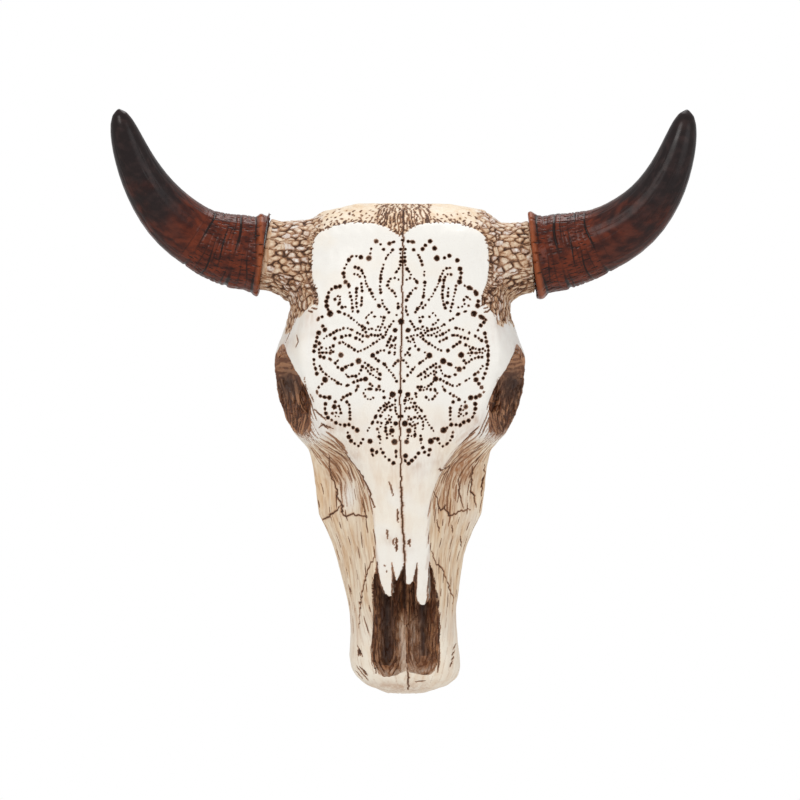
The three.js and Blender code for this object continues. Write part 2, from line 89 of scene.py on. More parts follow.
for name, (place, size, watts, colour) in LAMPS.items():
    lamp = bpy.data.lights.new(name, "AREA")
    lamp.shape = "DISK"
    lamp.size = size
    lamp.energy = watts
    lamp.color = colour
    holder = bpy.data.objects.new(name, lamp)
    holder.location = place
    holder.rotation_euler = (-Vector(place)).to_track_quat("-Z", "Y").to_euler()
    bpy.context.collection.objects.link(holder)
print("lens, mm:", round(camera.data.lens, 1))

# %% [markdown]
# The pale floor lies well below, because the skull hangs on a wall. The surroundings are white to the camera
# and a little weaker as light, so that the shadows in the hollows stay soft but don't fill up.

# %% Floor and surroundings
FLOOR_Z = -0.9
FLOOR_SIZE = 5.0
FLOOR_COLOUR = (0.86, 0.85, 0.83, 1)
FLOOR_ROUGHNESS = 0.6
SKY_SEEN = 1.0
SKY_LIGHT = 0.72


def new_material(name):
    """A material that uses nodes, and its Principled shader."""
    material = bpy.data.materials.new(name)
    material.use_nodes = True
    return material, material.node_tree.nodes["Principled BSDF"]


floor_look, floor_shader = new_material("pale_floor")
floor_shader.inputs["Base Color"].default_value = FLOOR_COLOUR
floor_shader.inputs["Roughness"].default_value = FLOOR_ROUGHNESS
bpy.ops.mesh.primitive_plane_add(size=FLOOR_SIZE, location=(0, 0, FLOOR_Z))
floor = bpy.context.active_object
floor.name = "floor"
floor.data.materials.append(floor_look)

world = bpy.data.worlds.new("studio")
bpy.context.scene.world = world
world.use_nodes = True
sky = world.node_tree
sky.nodes["Background"].inputs["Color"].default_value = (1, 1, 1, 1)
seen = sky.nodes.new("ShaderNodeLightPath")
level = sky.nodes.new("ShaderNodeMapRange")
level.inputs["To Min"].default_value = SKY_LIGHT
level.inputs["To Max"].default_value = SKY_SEEN
sky.links.new(seen.outputs["Is Camera Ray"], level.inputs["Value"])
sky.links.new(level.outputs["Result"], sky.nodes["Background"].inputs["Strength"])
bpy.context.scene.view_settings.view_transform = "Standard"
bpy.context.scene.view_settings.look = "None"
print("floor at, m:", FLOOR_Z)

# %% [markdown]
# Small helpers. Everything the carving needs is a list of points in millimetres, with the depth counted
# from the wall towards the viewer, so a cut can be placed as it is seen: across, out, up.

# %% Helpers for objects
DOUBLES = 0.002 * MM


def alone(piece):
    """Selects only this piece and makes it the active one."""
    bpy.ops.object.select_all(action="DESELECT")
    piece.select_set(True)
    bpy.context.view_layer.objects.active = piece


def finish_modifier(piece, kind, **settings):
    """Adds a modifier with these settings and applies it."""
    modifier = piece.modifiers.new(kind.lower(), kind)
    for key, value in settings.items():
        setattr(modifier, key, value)
    alone(piece)
    bpy.ops.object.modifier_apply(modifier=modifier.name)


def twin_of(piece, name):
    """A copy of a piece with a mesh of its own, fixed to nothing."""
    twin = piece.copy()
    twin.data = piece.data.copy()
    twin.parent = None
    twin.name = name
    bpy.context.collection.objects.link(twin)
    return twin


def copy_of(name, nodes, fatten=0.0):
    """One new object holding copies of CAD nodes, their doubles merged and their skins moved out a little."""
    copies = [twin_of(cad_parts[node], name) for node in nodes]
    alone(copies[0])
    for twin in copies:
        twin.select_set(True)
    bpy.ops.object.mode_set(mode="EDIT")
    bpy.ops.mesh.select_all(action="SELECT")
    bpy.ops.mesh.remove_doubles(threshold=DOUBLES)
    if fatten:
        bpy.ops.transform.shrink_fatten(value=fatten)
    bpy.ops.object.mode_set(mode="OBJECT")
    if len(copies) > 1:
        bpy.ops.object.join()
    piece = copies[0]
    piece.name = name
    piece.data.name = name
    piece.data.materials.clear()
    return piece


def triangles(piece):
    piece.data.calc_loop_triangles()
    return len(piece.data.loop_triangles)


# %% Helpers for points and attributes
def read_vectors(piece, what="co"):
    """Places or normals of a piece's points, as rows of three."""
    values = np.empty(3 * len(piece.data.vertices), dtype=np.float32)
    piece.data.vertices.foreach_get(what, values)
    return values.reshape(-1, 3).astype(float)


def seen_points(piece):
    """Points in mm as across, depth out from the wall, and up."""
    at = read_vectors(piece) / MM
    return np.stack([at[:, 0], -at[:, 1], at[:, 2]], axis=1)


def place_points(piece, at):
    piece.data.vertices.foreach_set("co", at.astype(np.float32).ravel())
    piece.data.update()


def move_points(piece, offset):
    """Moves each point along its own normal, in mm."""
    place_points(piece, read_vectors(piece) + read_vectors(piece, "normal") * (offset * MM)[:, None])


def paint(piece, name, values):
    """Stores one number per point, which the paint reads by name."""
    layer = piece.data.attributes.get(name) or piece.data.attributes.new(name, "FLOAT", "POINT")
    layer.data.foreach_set("value", np.clip(values, 0, 1).astype(np.float32))


def read_paint(piece, name):
    values = np.zeros(len(piece.data.vertices), dtype=np.float32)
    piece.data.attributes[name].data.foreach_get("value", values)
    return values.astype(float)


def smoothstep(low, high, value):
    """Rises smoothly from 0 at low to 1 at high."""
    t = np.clip((value - low) / (high - low), 0, 1)
    return t * t * (3 - 2 * t)


def fall(low, high, value):
    """Falls smoothly from 1 at low to 0 at high."""
    return 1 - smoothstep(low, high, value)


def hump(middle, half, value):
    """1 at the middle, and fades on both sides of it."""
    return np.exp(-(((value - middle) / half) ** 2))


def tree_of(places, chosen=None):
    """A tree that finds the nearest of these places, or of the chosen ones."""
    chosen = range(len(places)) if chosen is None else chosen.tolist()
    tree = KDTree(len(chosen))
    for index in chosen:
        tree.insert(places[index], index)
    tree.balance()
    return tree


# %% [markdown]
# The casting. On the real thing the bone is one piece of resin. Copies of the bone's solids are moved out by
# a hair, so that they overlap, and remeshed into one skin with no seams between them. A voxel remesh gives
# even small faces everywhere, which fine carving needs.

# %% Fuse the bone's solids into one casting
BONE_NODES = [
    "cranium", "forehead_plate", "nasal_bones", "upper_jaw", "muzzle_tip", "nasal_floor",
    "horn_core_left", "horn_core_right", "eye_socket_left", "eye_socket_right",
]
OVERLAP = 0.4 * MM
VOXEL = 0.75 * MM

casting = copy_of("casting", BONE_NODES, OVERLAP)
finish_modifier(casting, "REMESH", mode="VOXEL", voxel_size=VOXEL, adaptivity=0.0)
print("points of the fused casting:", len(casting.data.vertices))

# %% [markdown]
# The flat facets of the CAD are smoothed away with a Smooth modifier. A vertex group holds it back on the
# thin and sharp places: the broken nasal tips and the edges of the nasal opening, the rims of the eye
# sockets, and the recess for the nail.

# %% Smooth the facets away, with the sharp places spared
SOCKET = {"middle": (76.0, 65.0, 1.5), "size": (31.0, 20.0, 33.0), "facing": 57.0}
TALLER = 1.17
SMOOTH_STEPS = 70
SPARED = 0.08
SMOOTH_LEVELS = 8
RIM = {"from": (0.78, 0.86), "to": (1.08, 1.2), "strength": 0.75}
NOSE = {"low": (-200, -196), "high": (-116, -108), "deep": (20, 24), "middle": 3, "wide": (28, 33)}
NAIL = {"up": 95, "deep": (10, 16), "wide": (18, 24)}


def socket_share(at):
    """0 in the middle of an eye socket's ellipsoid, 1 on its surface, more outside."""
    turn = math.radians(SOCKET["facing"])
    across = np.abs(at[:, 0]) - SOCKET["middle"][0]
    depth = at[:, 1] - SOCKET["middle"][1]
    up = at[:, 2] - SOCKET["middle"][2]
    along = across * math.sin(turn) + depth * math.cos(turn)
    aside = across * math.cos(turn) - depth * math.sin(turn)
    size = SOCKET["size"]
    return np.sqrt((aside / size[0]) ** 2 + (along / size[1]) ** 2 + (up / size[2]) ** 2)


def wide_share(at):
    """The same for the painted hollow, which reaches higher than the ellipsoid."""
    raised = at.copy()
    above = at[:, 2] > SOCKET["middle"][2]
    raised[above, 2] = SOCKET["middle"][2] + (at[above, 2] - SOCKET["middle"][2]) / TALLER
    return socket_share(raised)


def smooth_where(piece, name, weights, steps):
    """Smooths a piece by weights, which a vertex group keeps in a few levels."""
    group = piece.vertex_groups.new(name=name)
    level = np.round(weights * SMOOTH_LEVELS).astype(int)
    for value in range(1, SMOOTH_LEVELS + 1):
        group.add(np.nonzero(level == value)[0].tolist(), value / SMOOTH_LEVELS, "REPLACE")
    finish_modifier(piece, "SMOOTH", factor=0.5, iterations=steps, vertex_group=name)


at = seen_points(casting)
near_rim = smoothstep(*RIM["from"], socket_share(at)) * fall(*RIM["to"], socket_share(at))
near_nose = smoothstep(*NOSE["low"], at[:, 2]) * fall(*NOSE["high"], at[:, 2])
near_nose *= smoothstep(*NOSE["deep"], at[:, 1]) * fall(*NOSE["wide"], np.abs(at[:, 0] - NOSE["middle"]))
near_nail = fall(*NAIL["deep"], at[:, 1]) * fall(*NAIL["wide"], np.hypot(at[:, 0], at[:, 2] - NAIL["up"]))
spare = np.maximum(np.maximum(RIM["strength"] * near_rim, near_nose), near_nail)
smooth_where(casting, "soft", 1 - (1 - SPARED) * spare, SMOOTH_STEPS)
print("smoothed to", [[round(v, 1) for v in f(seen_points(casting), axis=0)] for f in (np.min, np.max)])

# %% [markdown]
# Where the ivory ends. The forehead plate and the nasal bones are one smooth ivory field with an outline as
# in the CAD. A signed distance to that outline, in the plane of the wall, tells each later step how far a
# point lies outside the ivory (above zero) or inside it.

# %% Distance to the ivory field's outline
PLATE_HALF = [
    (0, 113), (4, 115), (10, 119.5), (22, 122.5), (38, 122.5), (51, 118.5), (59, 112), (61, 100), (60.5, 84),
    (57, 74), (56, 66), (61, 56), (66, 46), (67, 34), (63, 18), (57.5, 0), (53, -14), (44, -28), (33, -44),
]
NOSE_OUTLINE = [
    (33, -43), (26, -54), (21, -68), (18.8, -88), (18.5, -112), (18.2, -132), (17.4, -139.5), (14.5, -143),
    (11, -142.4), (8.3, -138.2), (8.1, -131), (9.8, -112), (6.6, -125.4), (5, -128), (2.2, -128),
    (0.9, -126.4), (0.9, -110), (-1.8, -120.2), (-4.1, -125.5), (-5.8, -124.7), (-8.2, -111), (-7.6, -124),
    (-6.7, -131), (-7.4, -135.6), (-10.7, -136.5), (-13.5, -133.9), (-16.1, -127.6), (-18, -118),
    (-18.6, -111), (-19, -88), (-21.5, -68), (-26.5, -54), (-33, -43),
]
SEAM_SWAY = [(-207, 6), (-120, 3.6), (-60, 0.7), (0, 0), (60, 1.4), (137.5, 2.6)]
NOSE_TOP = -43
NOSE_LEAN = 3.6 / 107
ROUNDING = 4


def rounded(corners, steps):
    """Points along a smooth curve through the corners of an open line."""
    padded = [corners[0], *corners, corners[-1]]
    curve = []
    for p0, p1, p2, p3 in zip(padded, padded[1:], padded[2:], padded[3:]):
        for t in np.linspace(0, 1, steps, endpoint=False):
            curve.append(tuple(
                b + 0.5 * t * (c - a + t * (2 * a - 5 * b + 4 * c - d + t * (3 * (b - c) + d - a)))
                for a, b, c, d in zip(p0, p1, p2, p3)
            ))
    return curve + [tuple(corners[-1])]


plate_half = rounded(PLATE_HALF, ROUNDING)
plate_outline = plate_half + [(-x, z) for x, z in reversed(plate_half[1:])]
nose_outline = [(x - NOSE_LEAN * (z - NOSE_TOP), z) for x, z in NOSE_OUTLINE]


def outline_distance(points, outline):
    """Signed distance to an outline in the wall's plane, below zero inside, and the way outward."""
    best = np.full(len(points), np.inf)
    away = np.zeros((len(points), 2))
    inside = np.zeros(len(points), bool)
    for (x0, z0), (x1, z1) in zip(outline, outline[1:] + outline[:1]):
        px, pz = points[:, 0] - x0, points[:, 2] - z0
        ex, ez = x1 - x0, z1 - z0
        t = np.clip((px * ex + pz * ez) / (ex * ex + ez * ez), 0, 1)
        off = np.stack([px - t * ex, pz - t * ez], axis=1)
        length = np.hypot(off[:, 0], off[:, 1])
        nearer = length < best
        best[nearer] = length[nearer]
        away[nearer] = off[nearer]
        if z1 != z0:
            inside ^= ((z0 > points[:, 2]) != (z1 > points[:, 2])) & (px < ex * pz / ez)
    sign = np.where(inside, -1.0, 1.0)
    return sign * best, away * (sign / np.maximum(best, 1e-6))[:, None]


def seam_across(up):
    """Where the seam of the face runs, across, at a height."""
    heights, places = zip(*SEAM_SWAY)
    return np.interp(up, heights, places)


at = seen_points(casting)
off_plate, away_from_plate = outline_distance(at, plate_outline)
off_ivory = np.minimum(off_plate, outline_distance(at, nose_outline)[0])
print("share of points on the ivory:", round(float(np.mean(off_ivory < 0)), 3))

# %% [markdown]
# The real ivory is polished. The CAD's plain pits and seam are smoothed out of it here, because the pits are
# bored afresh, finer and in their hundreds, once the carving is done.

# %% Polish the ivory
POLISH_STEPS = 190
POLISH = {"inside": (0.5, 4), "above": (-118, -108), "deep": (70, 74)}
REGROWTH = 0.1
WALL_SIDE = (2, 6)
polished = smoothstep(*POLISH["inside"], -off_ivory)
polished *= smoothstep(*POLISH["above"], at[:, 2]) * smoothstep(*POLISH["deep"], at[:, 1])
smooth_where(casting, "even", polished, POLISH_STEPS)
move_points(casting, (REGROWTH - OVERLAP / MM) * smoothstep(*WALL_SIDE, at[:, 1]))
print("share of points polished:", round(float(np.mean(polished > 0)), 3))

# %% [markdown]
# A tool to carve with. It keeps a piece's points as they are seen, and three layers that the strokes add
# to: how deep each point is cut, how much dark wash lies there, and how much brown stain, a layer that also
# holds painted shade beside the cuts of the cells. A drawn line is dropped onto the skin as it is seen from
# the front. A free stroke starts anywhere and follows the skin in the direction of the grain, as a tool
# pulled over clay does. All random draws come from one seeded source.

# %% The carving tool
SEED = 20
FLAT = (1, 0, 1)
rng = np.random.default_rng(SEED)


def pick(value):
    """The number itself, or a random one from a range."""
    return rng.uniform(*value) if isinstance(value, tuple) else value


def unit_on(normal, way):
    """A direction laid onto the surface with this normal, of length one."""
    way = way - normal * (way @ normal)
    return way / np.linalg.norm(way)


class Skin:
    """The points of a piece while it is carved."""

    FRONT_FACING = 0.15
    NOWHERE = 1e6
    END_SHARE = 0.35
    END_ROUND = 0.6
    FLAT_BOTTOM = 0.15
    MARGIN = 0.1

    def __init__(self, piece):
        self.at = seen_points(piece)
        self.normal = read_vectors(piece, "normal") * np.array([1, -1, 1])
        self.cut, self.wash, self.stain = (np.zeros(len(self.at)) for _ in range(3))
        self.tree = tree_of(self.at.tolist())
        facing = np.nonzero(self.normal[:, 1] > self.FRONT_FACING)[0]
        self.front = tree_of((self.at * FLAT).tolist(), facing)

    def near(self, place, radius):
        return np.array([index for _, index, _ in self.tree.find_range(place, radius)], dtype=int)

    def line(self, corners, wander, step=0.5):
        """Points on the skin, as seen from the front, along a line drawn over it, which wanders a little."""
        path = []
        for (x0, z0), (x1, z1) in zip(corners, corners[1:]):
            length = math.hypot(x1 - x0, z1 - z0)
            for k in range(max(1, round(length / step))):
                t = k * step / length
                x = x0 + (x1 - x0) * t + rng.normal(0, wander)
                z = z0 + (z1 - z0) * t + rng.normal(0, wander)
                path.append((x, z))
        path.append(corners[-1])
        return self.at[[self.front.find((x, 0, z))[1] for x, z in path]]

    def pull(self, start, grain, length, step, unsteady):
        """Points on the skin along a free stroke that follows the grain."""
        path, index = [self.at[start]], start
        for _ in range(max(2, round(length / step))):
            way = unit_on(self.normal[index], grain(index) + rng.normal(0, unsteady, 3))
            index = self.tree.find(path[-1] + way * step)[1]
            ahead = path[-1] + way * step
            path.append(ahead - self.normal[index] * ((ahead - self.at[index]) @ self.normal[index]))
        return np.array(path)

    def groove(self, path, width, depth, wash, stain=0.0, tapers=True):
        """Cuts along a path. Width is from edge to edge, and the ends run out if it tapers."""
        run = len(path) - 1
        for k, (a, b) in enumerate(zip(path, path[1:])):
            full = math.sin(math.pi * (k + 0.5) / run) ** self.END_ROUND
            share = self.END_SHARE + (1 - self.END_SHARE) * full if tapers else 1.0
            half = width * share / 2
            ids = self.near((a + b) / 2, np.linalg.norm(b - a) / 2 + half + self.MARGIN)
            if not len(ids):
                continue
            ab = b - a
            t = np.clip((self.at[ids] - a) @ ab / max(ab @ ab, 1e-9), 0, 1)
            away = np.linalg.norm(self.at[ids] - a - t[:, None] * ab, axis=1)
            amount = fall(self.FLAT_BOTTOM * half, half, away)
            for layer, value in ((self.cut, depth * share), (self.wash, wash), (self.stain, stain)):
                layer[ids] = np.maximum(layer[ids], value * amount)

    def scatter(self, region, spacing):
        """Points of a region, in random order, none nearer than the spacing to another."""
        free = region.copy()
        chosen = []
        for index in rng.permutation(np.nonzero(region)[0]).tolist():
            if free[index]:
                chosen.append(index)
                free[self.near(self.at[index], spacing)] = False
        return chosen

    def strokes(self, region, spacing, grain, length, width, depth, wash, stain=0.0, step=1.5, unsteady=0.12):
        """Free strokes all over a region. Each stroke picks its own values where a range is given."""
        starts = self.scatter(region, spacing)
        for start in starts:
            path = self.pull(start, grain, pick(length), step, unsteady)
            self.groove(path, pick(width), pick(depth), pick(wash), pick(stain))
        return len(starts)

    def cells(self, seeds, grain, stretch, reach, unsteady):
        """Cells around seeds, drawn out along the grain: how far a point is from a border, and its cell."""
        first, second = (np.full(len(self.at), self.NOWHERE) for _ in range(2))
        owner = np.full(len(self.at), -1)
        for cell, seed in enumerate(seeds):
            way = unit_on(self.normal[seed], grain(seed) + rng.normal(0, unsteady, 3))
            ids = self.near(self.at[seed], reach)
            away = self.at[ids] - self.at[seed]
            along = away @ way
            aside = np.sqrt(np.maximum((away ** 2).sum(axis=1) - along ** 2, 0))
            apart = np.hypot(along / stretch, aside)
            closer = apart < first[ids]
            second[ids] = np.where(closer, first[ids], np.minimum(second[ids], apart))
            first[ids] = np.where(closer, apart, first[ids])
            owner[ids[closer]] = cell
        return second - first, owner


# %% [markdown]
# The casting is measured once, before the first cut, so that every later step can name a region by how far
# across, out or up it lies, or how far from an outline. Two slow uneven fields keep the borders of those
# regions from looking ruled.

# %% The skin's regions and uneven fields
SOCKET_REGION = {"across": 55, "depth": 20, "raised": 0.94}
BACK_DEPTH = 3

skin = Skin(casting)
across, depth, up = skin.at.T
side_of = np.where(across > 0, 1.0, -1.0)
off_socket = wide_share(skin.at)
in_socket = (off_socket < 1) & (np.abs(across) > SOCKET_REGION["across"]) & (depth > SOCKET_REGION["depth"])
raised_top = in_socket & (socket_share(skin.at) > SOCKET_REGION["raised"])
behind = depth < BACK_DEPTH


def swell(places, size, waves=14):
    """A smooth uneven field from -1 to 1, whose waves are about this long."""
    ways = rng.normal(0, 1, (waves, 3))
    ways *= (2 * math.pi / size) / np.linalg.norm(ways, axis=1)[:, None] * rng.uniform(0.7, 1.4, (waves, 1))
    start = rng.uniform(0, 2 * math.pi, waves)
    total = sum(np.sin(places @ way + phase) for way, phase in zip(ways, start))
    return np.clip(total / math.sqrt(waves), -1, 1)


def patch(middle, reach, strength):
    """A soft round patch, seen from the front."""
    return strength * np.exp(-(((across - middle[0]) / reach[0]) ** 2) - ((up - middle[1]) / reach[1]) ** 2)


coarse = swell(skin.at, 26.0)
fine = swell(skin.at, 9.0)
print("points in the eye sockets:", int(in_socket.sum()))

# %% [markdown]
# The large forms come first. The ivory field stands a little proud of the gouged crown, and the cheeks sink
# in below the ridge that runs from each eye socket to the nose. Slow swells take away the last stiffness.

# %% Lower the ground around the ivory field
STEP = {"deep": 1.3, "wide": 1.1, "ends": (5, 16), "crown": (58, 70), "cheek": (20, 34), "nose": (110, 125)}
CHEEK_SHARE = 0.8
HOLLOW = {"deep": 2.2, "half": 9, "from": (24, 42), "to": (72, 100), "beside": (-1, 4)}
HOLLOW_LINE = [(25, 50), (45, 41), (65, 34), (90, 31)]
RAISED_TOP = {"deep": 1.9, "wide": 0.09, "from": (4, 14)}
SWELLS = (0.28, 0.14)


def along_line(pairs, value):
    """Reads a bent line, given as pairs, at a value."""
    return np.interp(value, *zip(*pairs))


front = smoothstep(0.0, 0.3, skin.normal[:, 1])
beside = smoothstep(0, STEP["wide"], off_ivory) * fall(*STEP["ends"], off_ivory)
by_crown = smoothstep(*STEP["crown"], up)
by_cheek = smoothstep(*STEP["cheek"], -up) * fall(*STEP["nose"], -up)
skin.cut += STEP["deep"] * beside * front * np.maximum(by_crown, CHEEK_SHARE * by_cheek)
hollow = hump(along_line(HOLLOW_LINE, -up), HOLLOW["half"], np.abs(across)) * smoothstep(*HOLLOW["from"], -up)
hollow *= fall(*HOLLOW["to"], -up) * smoothstep(*HOLLOW["beside"], off_ivory)
skin.cut += HOLLOW["deep"] * hollow * front
inside_top = smoothstep(0, RAISED_TOP["wide"], 1 - off_socket) * smoothstep(*RAISED_TOP["from"], up)
skin.cut += RAISED_TOP["deep"] * raised_top * inside_top
skin.cut += (SWELLS[0] * coarse + SWELLS[1] * fine) * ~behind
print("deepest form, mm:", round(float(skin.cut.max()), 2))

# %% [markdown]
# The crown and the horn cores are gouged all over: short lumps of bone, drawn out along the grain, with dark
# cuts between them. Cells around scattered seeds give such lumps, and their borders are the cuts. The grain
# runs along the horn cores, turns upright at the temples, and stands square to the edge of the ivory.

# %% Lumps along a grain
CORE_X = 70
SHADOW = {"strength": 0.5, "reach": 2.0, "from": 0.3}
CUT_BOTTOM = 0.05


def square_grain(index):
    """Square to the edge of the ivory, in the wall's plane."""
    away_x, away_z = away_from_plate[index]
    return np.array([away_x, 0, away_z])


def crown_grain(index):
    """Outward along the cores, upright at the temples, and square to the ivory elsewhere."""
    x, _, z = skin.at[index]
    side = 1 if x > 0 else -1
    core = smoothstep(CORE_X - 10, CORE_X + 6, abs(x)) * smoothstep(58, 76, z)
    temple = fall(64, 84, z)
    square = square_grain(index) * (1 - core) * (1 - temple)
    return core * np.array([side, 0, 0.12]) + 1.3 * temple * np.array([0.25 * side, 0, 1]) + square


def lay_cells(region, spacing, grain, stretch, width, deep, step, wash, unsteady, strength=1.0):
    """Cuts a region into lumps, drawn out along the grain. Each lump has its own height and its own cuts."""
    seeds = skin.scatter(region, spacing)
    gap, owner = skin.cells(seeds, grain, stretch, 1.5 * spacing * stretch, unsteady)
    each = rng.uniform(0.6, 1.25, len(seeds) + 1)[owner]
    height = rng.uniform(-0.5, 0.5, len(seeds) + 1)[owner]
    held = region & (owner >= 0)
    amount = np.where(held, fall(CUT_BOTTOM, 1.0, gap / (width * each)), 0) * strength * comes_and_goes
    skin.cut += np.where(held, deep * amount * each + step * strength * height, 0)
    skin.wash = np.maximum(skin.wash, wash * amount * np.clip(each, 0, 1))
    # Painted shade: brown stain laid beside every cut between the lumps, strongest at the cut and gone at
    # twice its width.
    shadow = np.where(held, fall(SHADOW["from"], 1.0, gap / (SHADOW["reach"] * width)), 0)
    skin.stain = np.maximum(skin.stain, SHADOW["strength"] * shadow * strength)
    return owner, len(seeds)


# %% Gouge the crown and the horn cores
SEAT_LINE = [(68, 95.5), (100, 91), (128, 88)]
CROWN_LINE = [(56, 66), (66, 58), (76, 52), (84, 46)]
BAND = {"wide": (50, 64), "up": (88, 100), "weaker": 0.9, "seam": (6, 13)}

comes_and_goes = np.clip(0.85 + 0.5 * swell(skin.at, 7.0), 0, 1)
seat = np.abs(across) > along_line(SEAT_LINE, up)
crown_region = (up > 46) & (off_ivory > 0.4) & ~behind & ~in_socket & ~seat
crown_region &= up + 5 * coarse + 3 * fine > along_line(CROWN_LINE, np.abs(across))
from_seam = np.abs(across - seam_across(up))
band = fall(*BAND["wide"], np.abs(across)) * smoothstep(*BAND["up"], up)
strength = (1 - BAND["weaker"] * band) * smoothstep(*BAND["seam"], from_seam)
crown_cell, count = lay_cells(crown_region, 4.3, crown_grain, 1.75, 2.0, 1.3, 0.7, 1.0, 0.34, strength)
lay_cells(crown_region, 2.6, crown_grain, 1.3, 0.9, 0.3, 0.45, 0.25, 0.5, strength)
temple = crown_region & (up < 86) & (np.abs(across) > 54)
strong = crown_region & (strength > 0.7)
skin.strokes(temple, 3.6, crown_grain, (5, 12), (0.9, 1.6), 0.7, (0.5, 1), 0.8, step=0.9, unsteady=0.15)
skin.strokes(strong, 6.0, crown_grain, (4, 10), (0.8, 1.6), 0.7, (0.5, 1), 0.5, step=0.9, unsteady=0.3)
print("lumps on the crown:", count)

# %% [markdown]
# On the real skull the gouge ends at the ivory in a row of ticks, and by the seam it cuts upright. On the
# bare band of the crown only loose short ticks are left. All are free strokes, each kind with its own values.

# %% Ticks around the edge of the ivory, and upright cuts by the seam
def upright(index):
    return np.array([0.0, 0, 1])


edge = (off_ivory > -0.7) & (off_ivory < 1.6) & (up > 60) & (skin.normal[:, 1] > 0.3)
by_seam = (off_ivory > 0) & (from_seam < 19) & (up > 106) & (depth > 10)
loose = crown_region & (strength < 0.7) & (up < 131 + 3 * coarse)
TICKS = [
    # region, spacing, grain, then ranges of length, width, depth and wash, then stain, step and unsteadiness
    (edge, 2.4, square_grain, (2.5, 6.5), (1.3, 2.3), (0.7, 1.2), (0.85, 1), 0.7, 0.7, 0.3),
    (by_seam, 2.9, upright, (5, 14), (1.1, 2.0), (0.6, 1.2), (0.7, 1), 0.8, 0.8, 0.12),
    (loose, 3.9, upright, (1.0, 4.5), (1.4, 2.5), 0.8, (0.7, 1), 0.8, 0.6, 0.5),
]
for values in TICKS:
    print("ticks:", skin.strokes(*values))

# %% [markdown]
# The eye sockets are combed with a pointed tool: level arcs above the pit of the eye, and long strokes below
# it that lean inward and run out over the rim as a fringe. Long thin cells make the comb's tracks, and free
# strokes cross them.

# %% Comb the eye sockets
LEVEL_ABOVE = (12, 17)


def socket_grain(index):
    side = side_of[index]
    low = fall(*LEVEL_ABOVE, up[index])
    return low * np.array([-0.3 * side, 0, -1]) + (1 - low) * np.array([side, 0, -0.25])


combed = 0.35 + 0.65 * fall(12, 20, up)
socket_cell, _ = lay_cells(in_socket, 3.2, socket_grain, 5.0, 1.5, 1.2, 1.0, 0.8, 0.06, combed)
skin.strokes(in_socket & (up < 14), 4.2, socket_grain, (8, 22), (1.3, 2.3), 1.2, (0.85, 1), unsteady=0.05)
fringe = (off_socket > 0.94) & (off_socket < 1.03) & (up < -12) & (np.abs(across) > 55) & (depth > 30)
skin.strokes(fringe, 2.0, socket_grain, (2.5, 6), (0.8, 1.6), 0.6, (0.4, 0.9), 0.9, step=0.8)
print("points of the fringe:", int(fringe.sum()))

# %% [markdown]
# The cheeks are brushed and scratched along the bone: down and inward from under the eye sockets, where the
# stain is dark, then straight down to the muzzle, which stays pale. Soft wide strokes hold stain, narrow
# ones hold wash, and a few white patches are kept free of both.

# %% Regions of the cheeks
OPENING = [
    (21, -112), (23.5, -124), (26, -140), (27.2, -158), (26.5, -178), (24, -190), (18, -192.5), (9, -191),
    (3.5, -189.5), (-3, -192.5), (-12, -193.5), (-17.5, -188), (-19.5, -176), (-18.5, -150), (-18.5, -128),
    (-16.5, -112),
]
STEEP = 0.35
LEAN = [(20, 1.5), (32, 1.0), (60, 0.35), (95, 0.05), (150, 0.1)]
WHITE_PATCHES = [
    # middle, reach and strength
    ((-37, -67), (5, 11), 1.0), ((44, -66), (5, 10), 0.15), ((51, -84), (6, 8), 0.5),
    ((-60, -19), (5, 9), 0.9), ((-70, -29), (9, 5), 0.9), ((62, -19), (5, 9), 0.7), ((72, -29), (9, 5), 0.7),
]
UNDER_EYE_INNER = [(20, 40), (40, 30), (62, 22)]
UNDER_EYE_OUTER = [(20, 74), (40, 58), (62, 40)]

off_opening, _ = outline_distance(skin.at, rounded(OPENING, ROUNDING))
steep = skin.normal[:, 1] < STEEP
in_opening = (off_opening < 0) & (off_ivory > np.where(steep, -2.6, -0.2)) & (depth > 20)
cheek_region = (up < -16) & (off_ivory > 0.5) & ~in_socket & ~in_opening & ~behind & (off_socket > 1.04)
muzzle = smoothstep(135, 165, -up)
white_patch = np.clip(sum(patch(*each) for each in WHITE_PATCHES), 0, 1)
low_cheek = cheek_region & (muzzle < 0.6) & (off_socket > 1.26)
under_eye = cheek_region & (up > -70) & (up < -22) & (np.abs(across) > along_line(UNDER_EYE_INNER, -up))
under_eye &= (np.abs(across) < along_line(UNDER_EYE_OUTER, -up)) & (off_socket > 1.2) & (white_patch < 0.4)
print("points of the cheeks:", int(cheek_region.sum()))

# %% Grain and stain on the cheeks
CHEEK_STROKES = [
    # name, region, spacing, then ranges of length, width, depth, wash and stain, then unsteadiness
    ("soft", low_cheek, 5.2, (8, 26), (2.5, 6), (0, 0.15), (0, 0), (0.1, 0.45), 0.1),
    ("fine", low_cheek, 8, (5, 16), (1.0, 1.8), (0.15, 0.4), (0, 0.3), (0.3, 0.8), 0.06),
    ("dark", low_cheek & (front > 0.9), 12, (4, 12), (1.2, 2.3), (0.4, 0.9), (0.7, 1), (0.7, 1), 0.06),
    ("under eye", under_eye, 4.8, (7, 20), (1.6, 4.6), (0.4, 1.2), (0.1, 0.8), (0.7, 1), 0.13),
    ("pale", cheek_region & (muzzle > 0.3), 6, (4, 14), (0.9, 1.8), (0, 0.2), (0, 0.15), (0.1, 0.45), 0.06),
]
BROWN_PATCHES = [
    # middle, reach and strength
    ((-45, -46), (9, 16), 0.85), ((45, -44), (11, 17), 1.1), ((34, -62), (9, 22), 0.6),
    ((-28, -68), (5, 14), 0.45), ((30, -95), (7, 16), 0.3), ((-30, -100), (7, 18), 0.25),
]
WHITE_STAIN = 0.85
WHITE_WASH = 0.6


def cheek_grain(index):
    return np.array([-side_of[index] * along_line(LEAN, -up[index]), 0, -1])


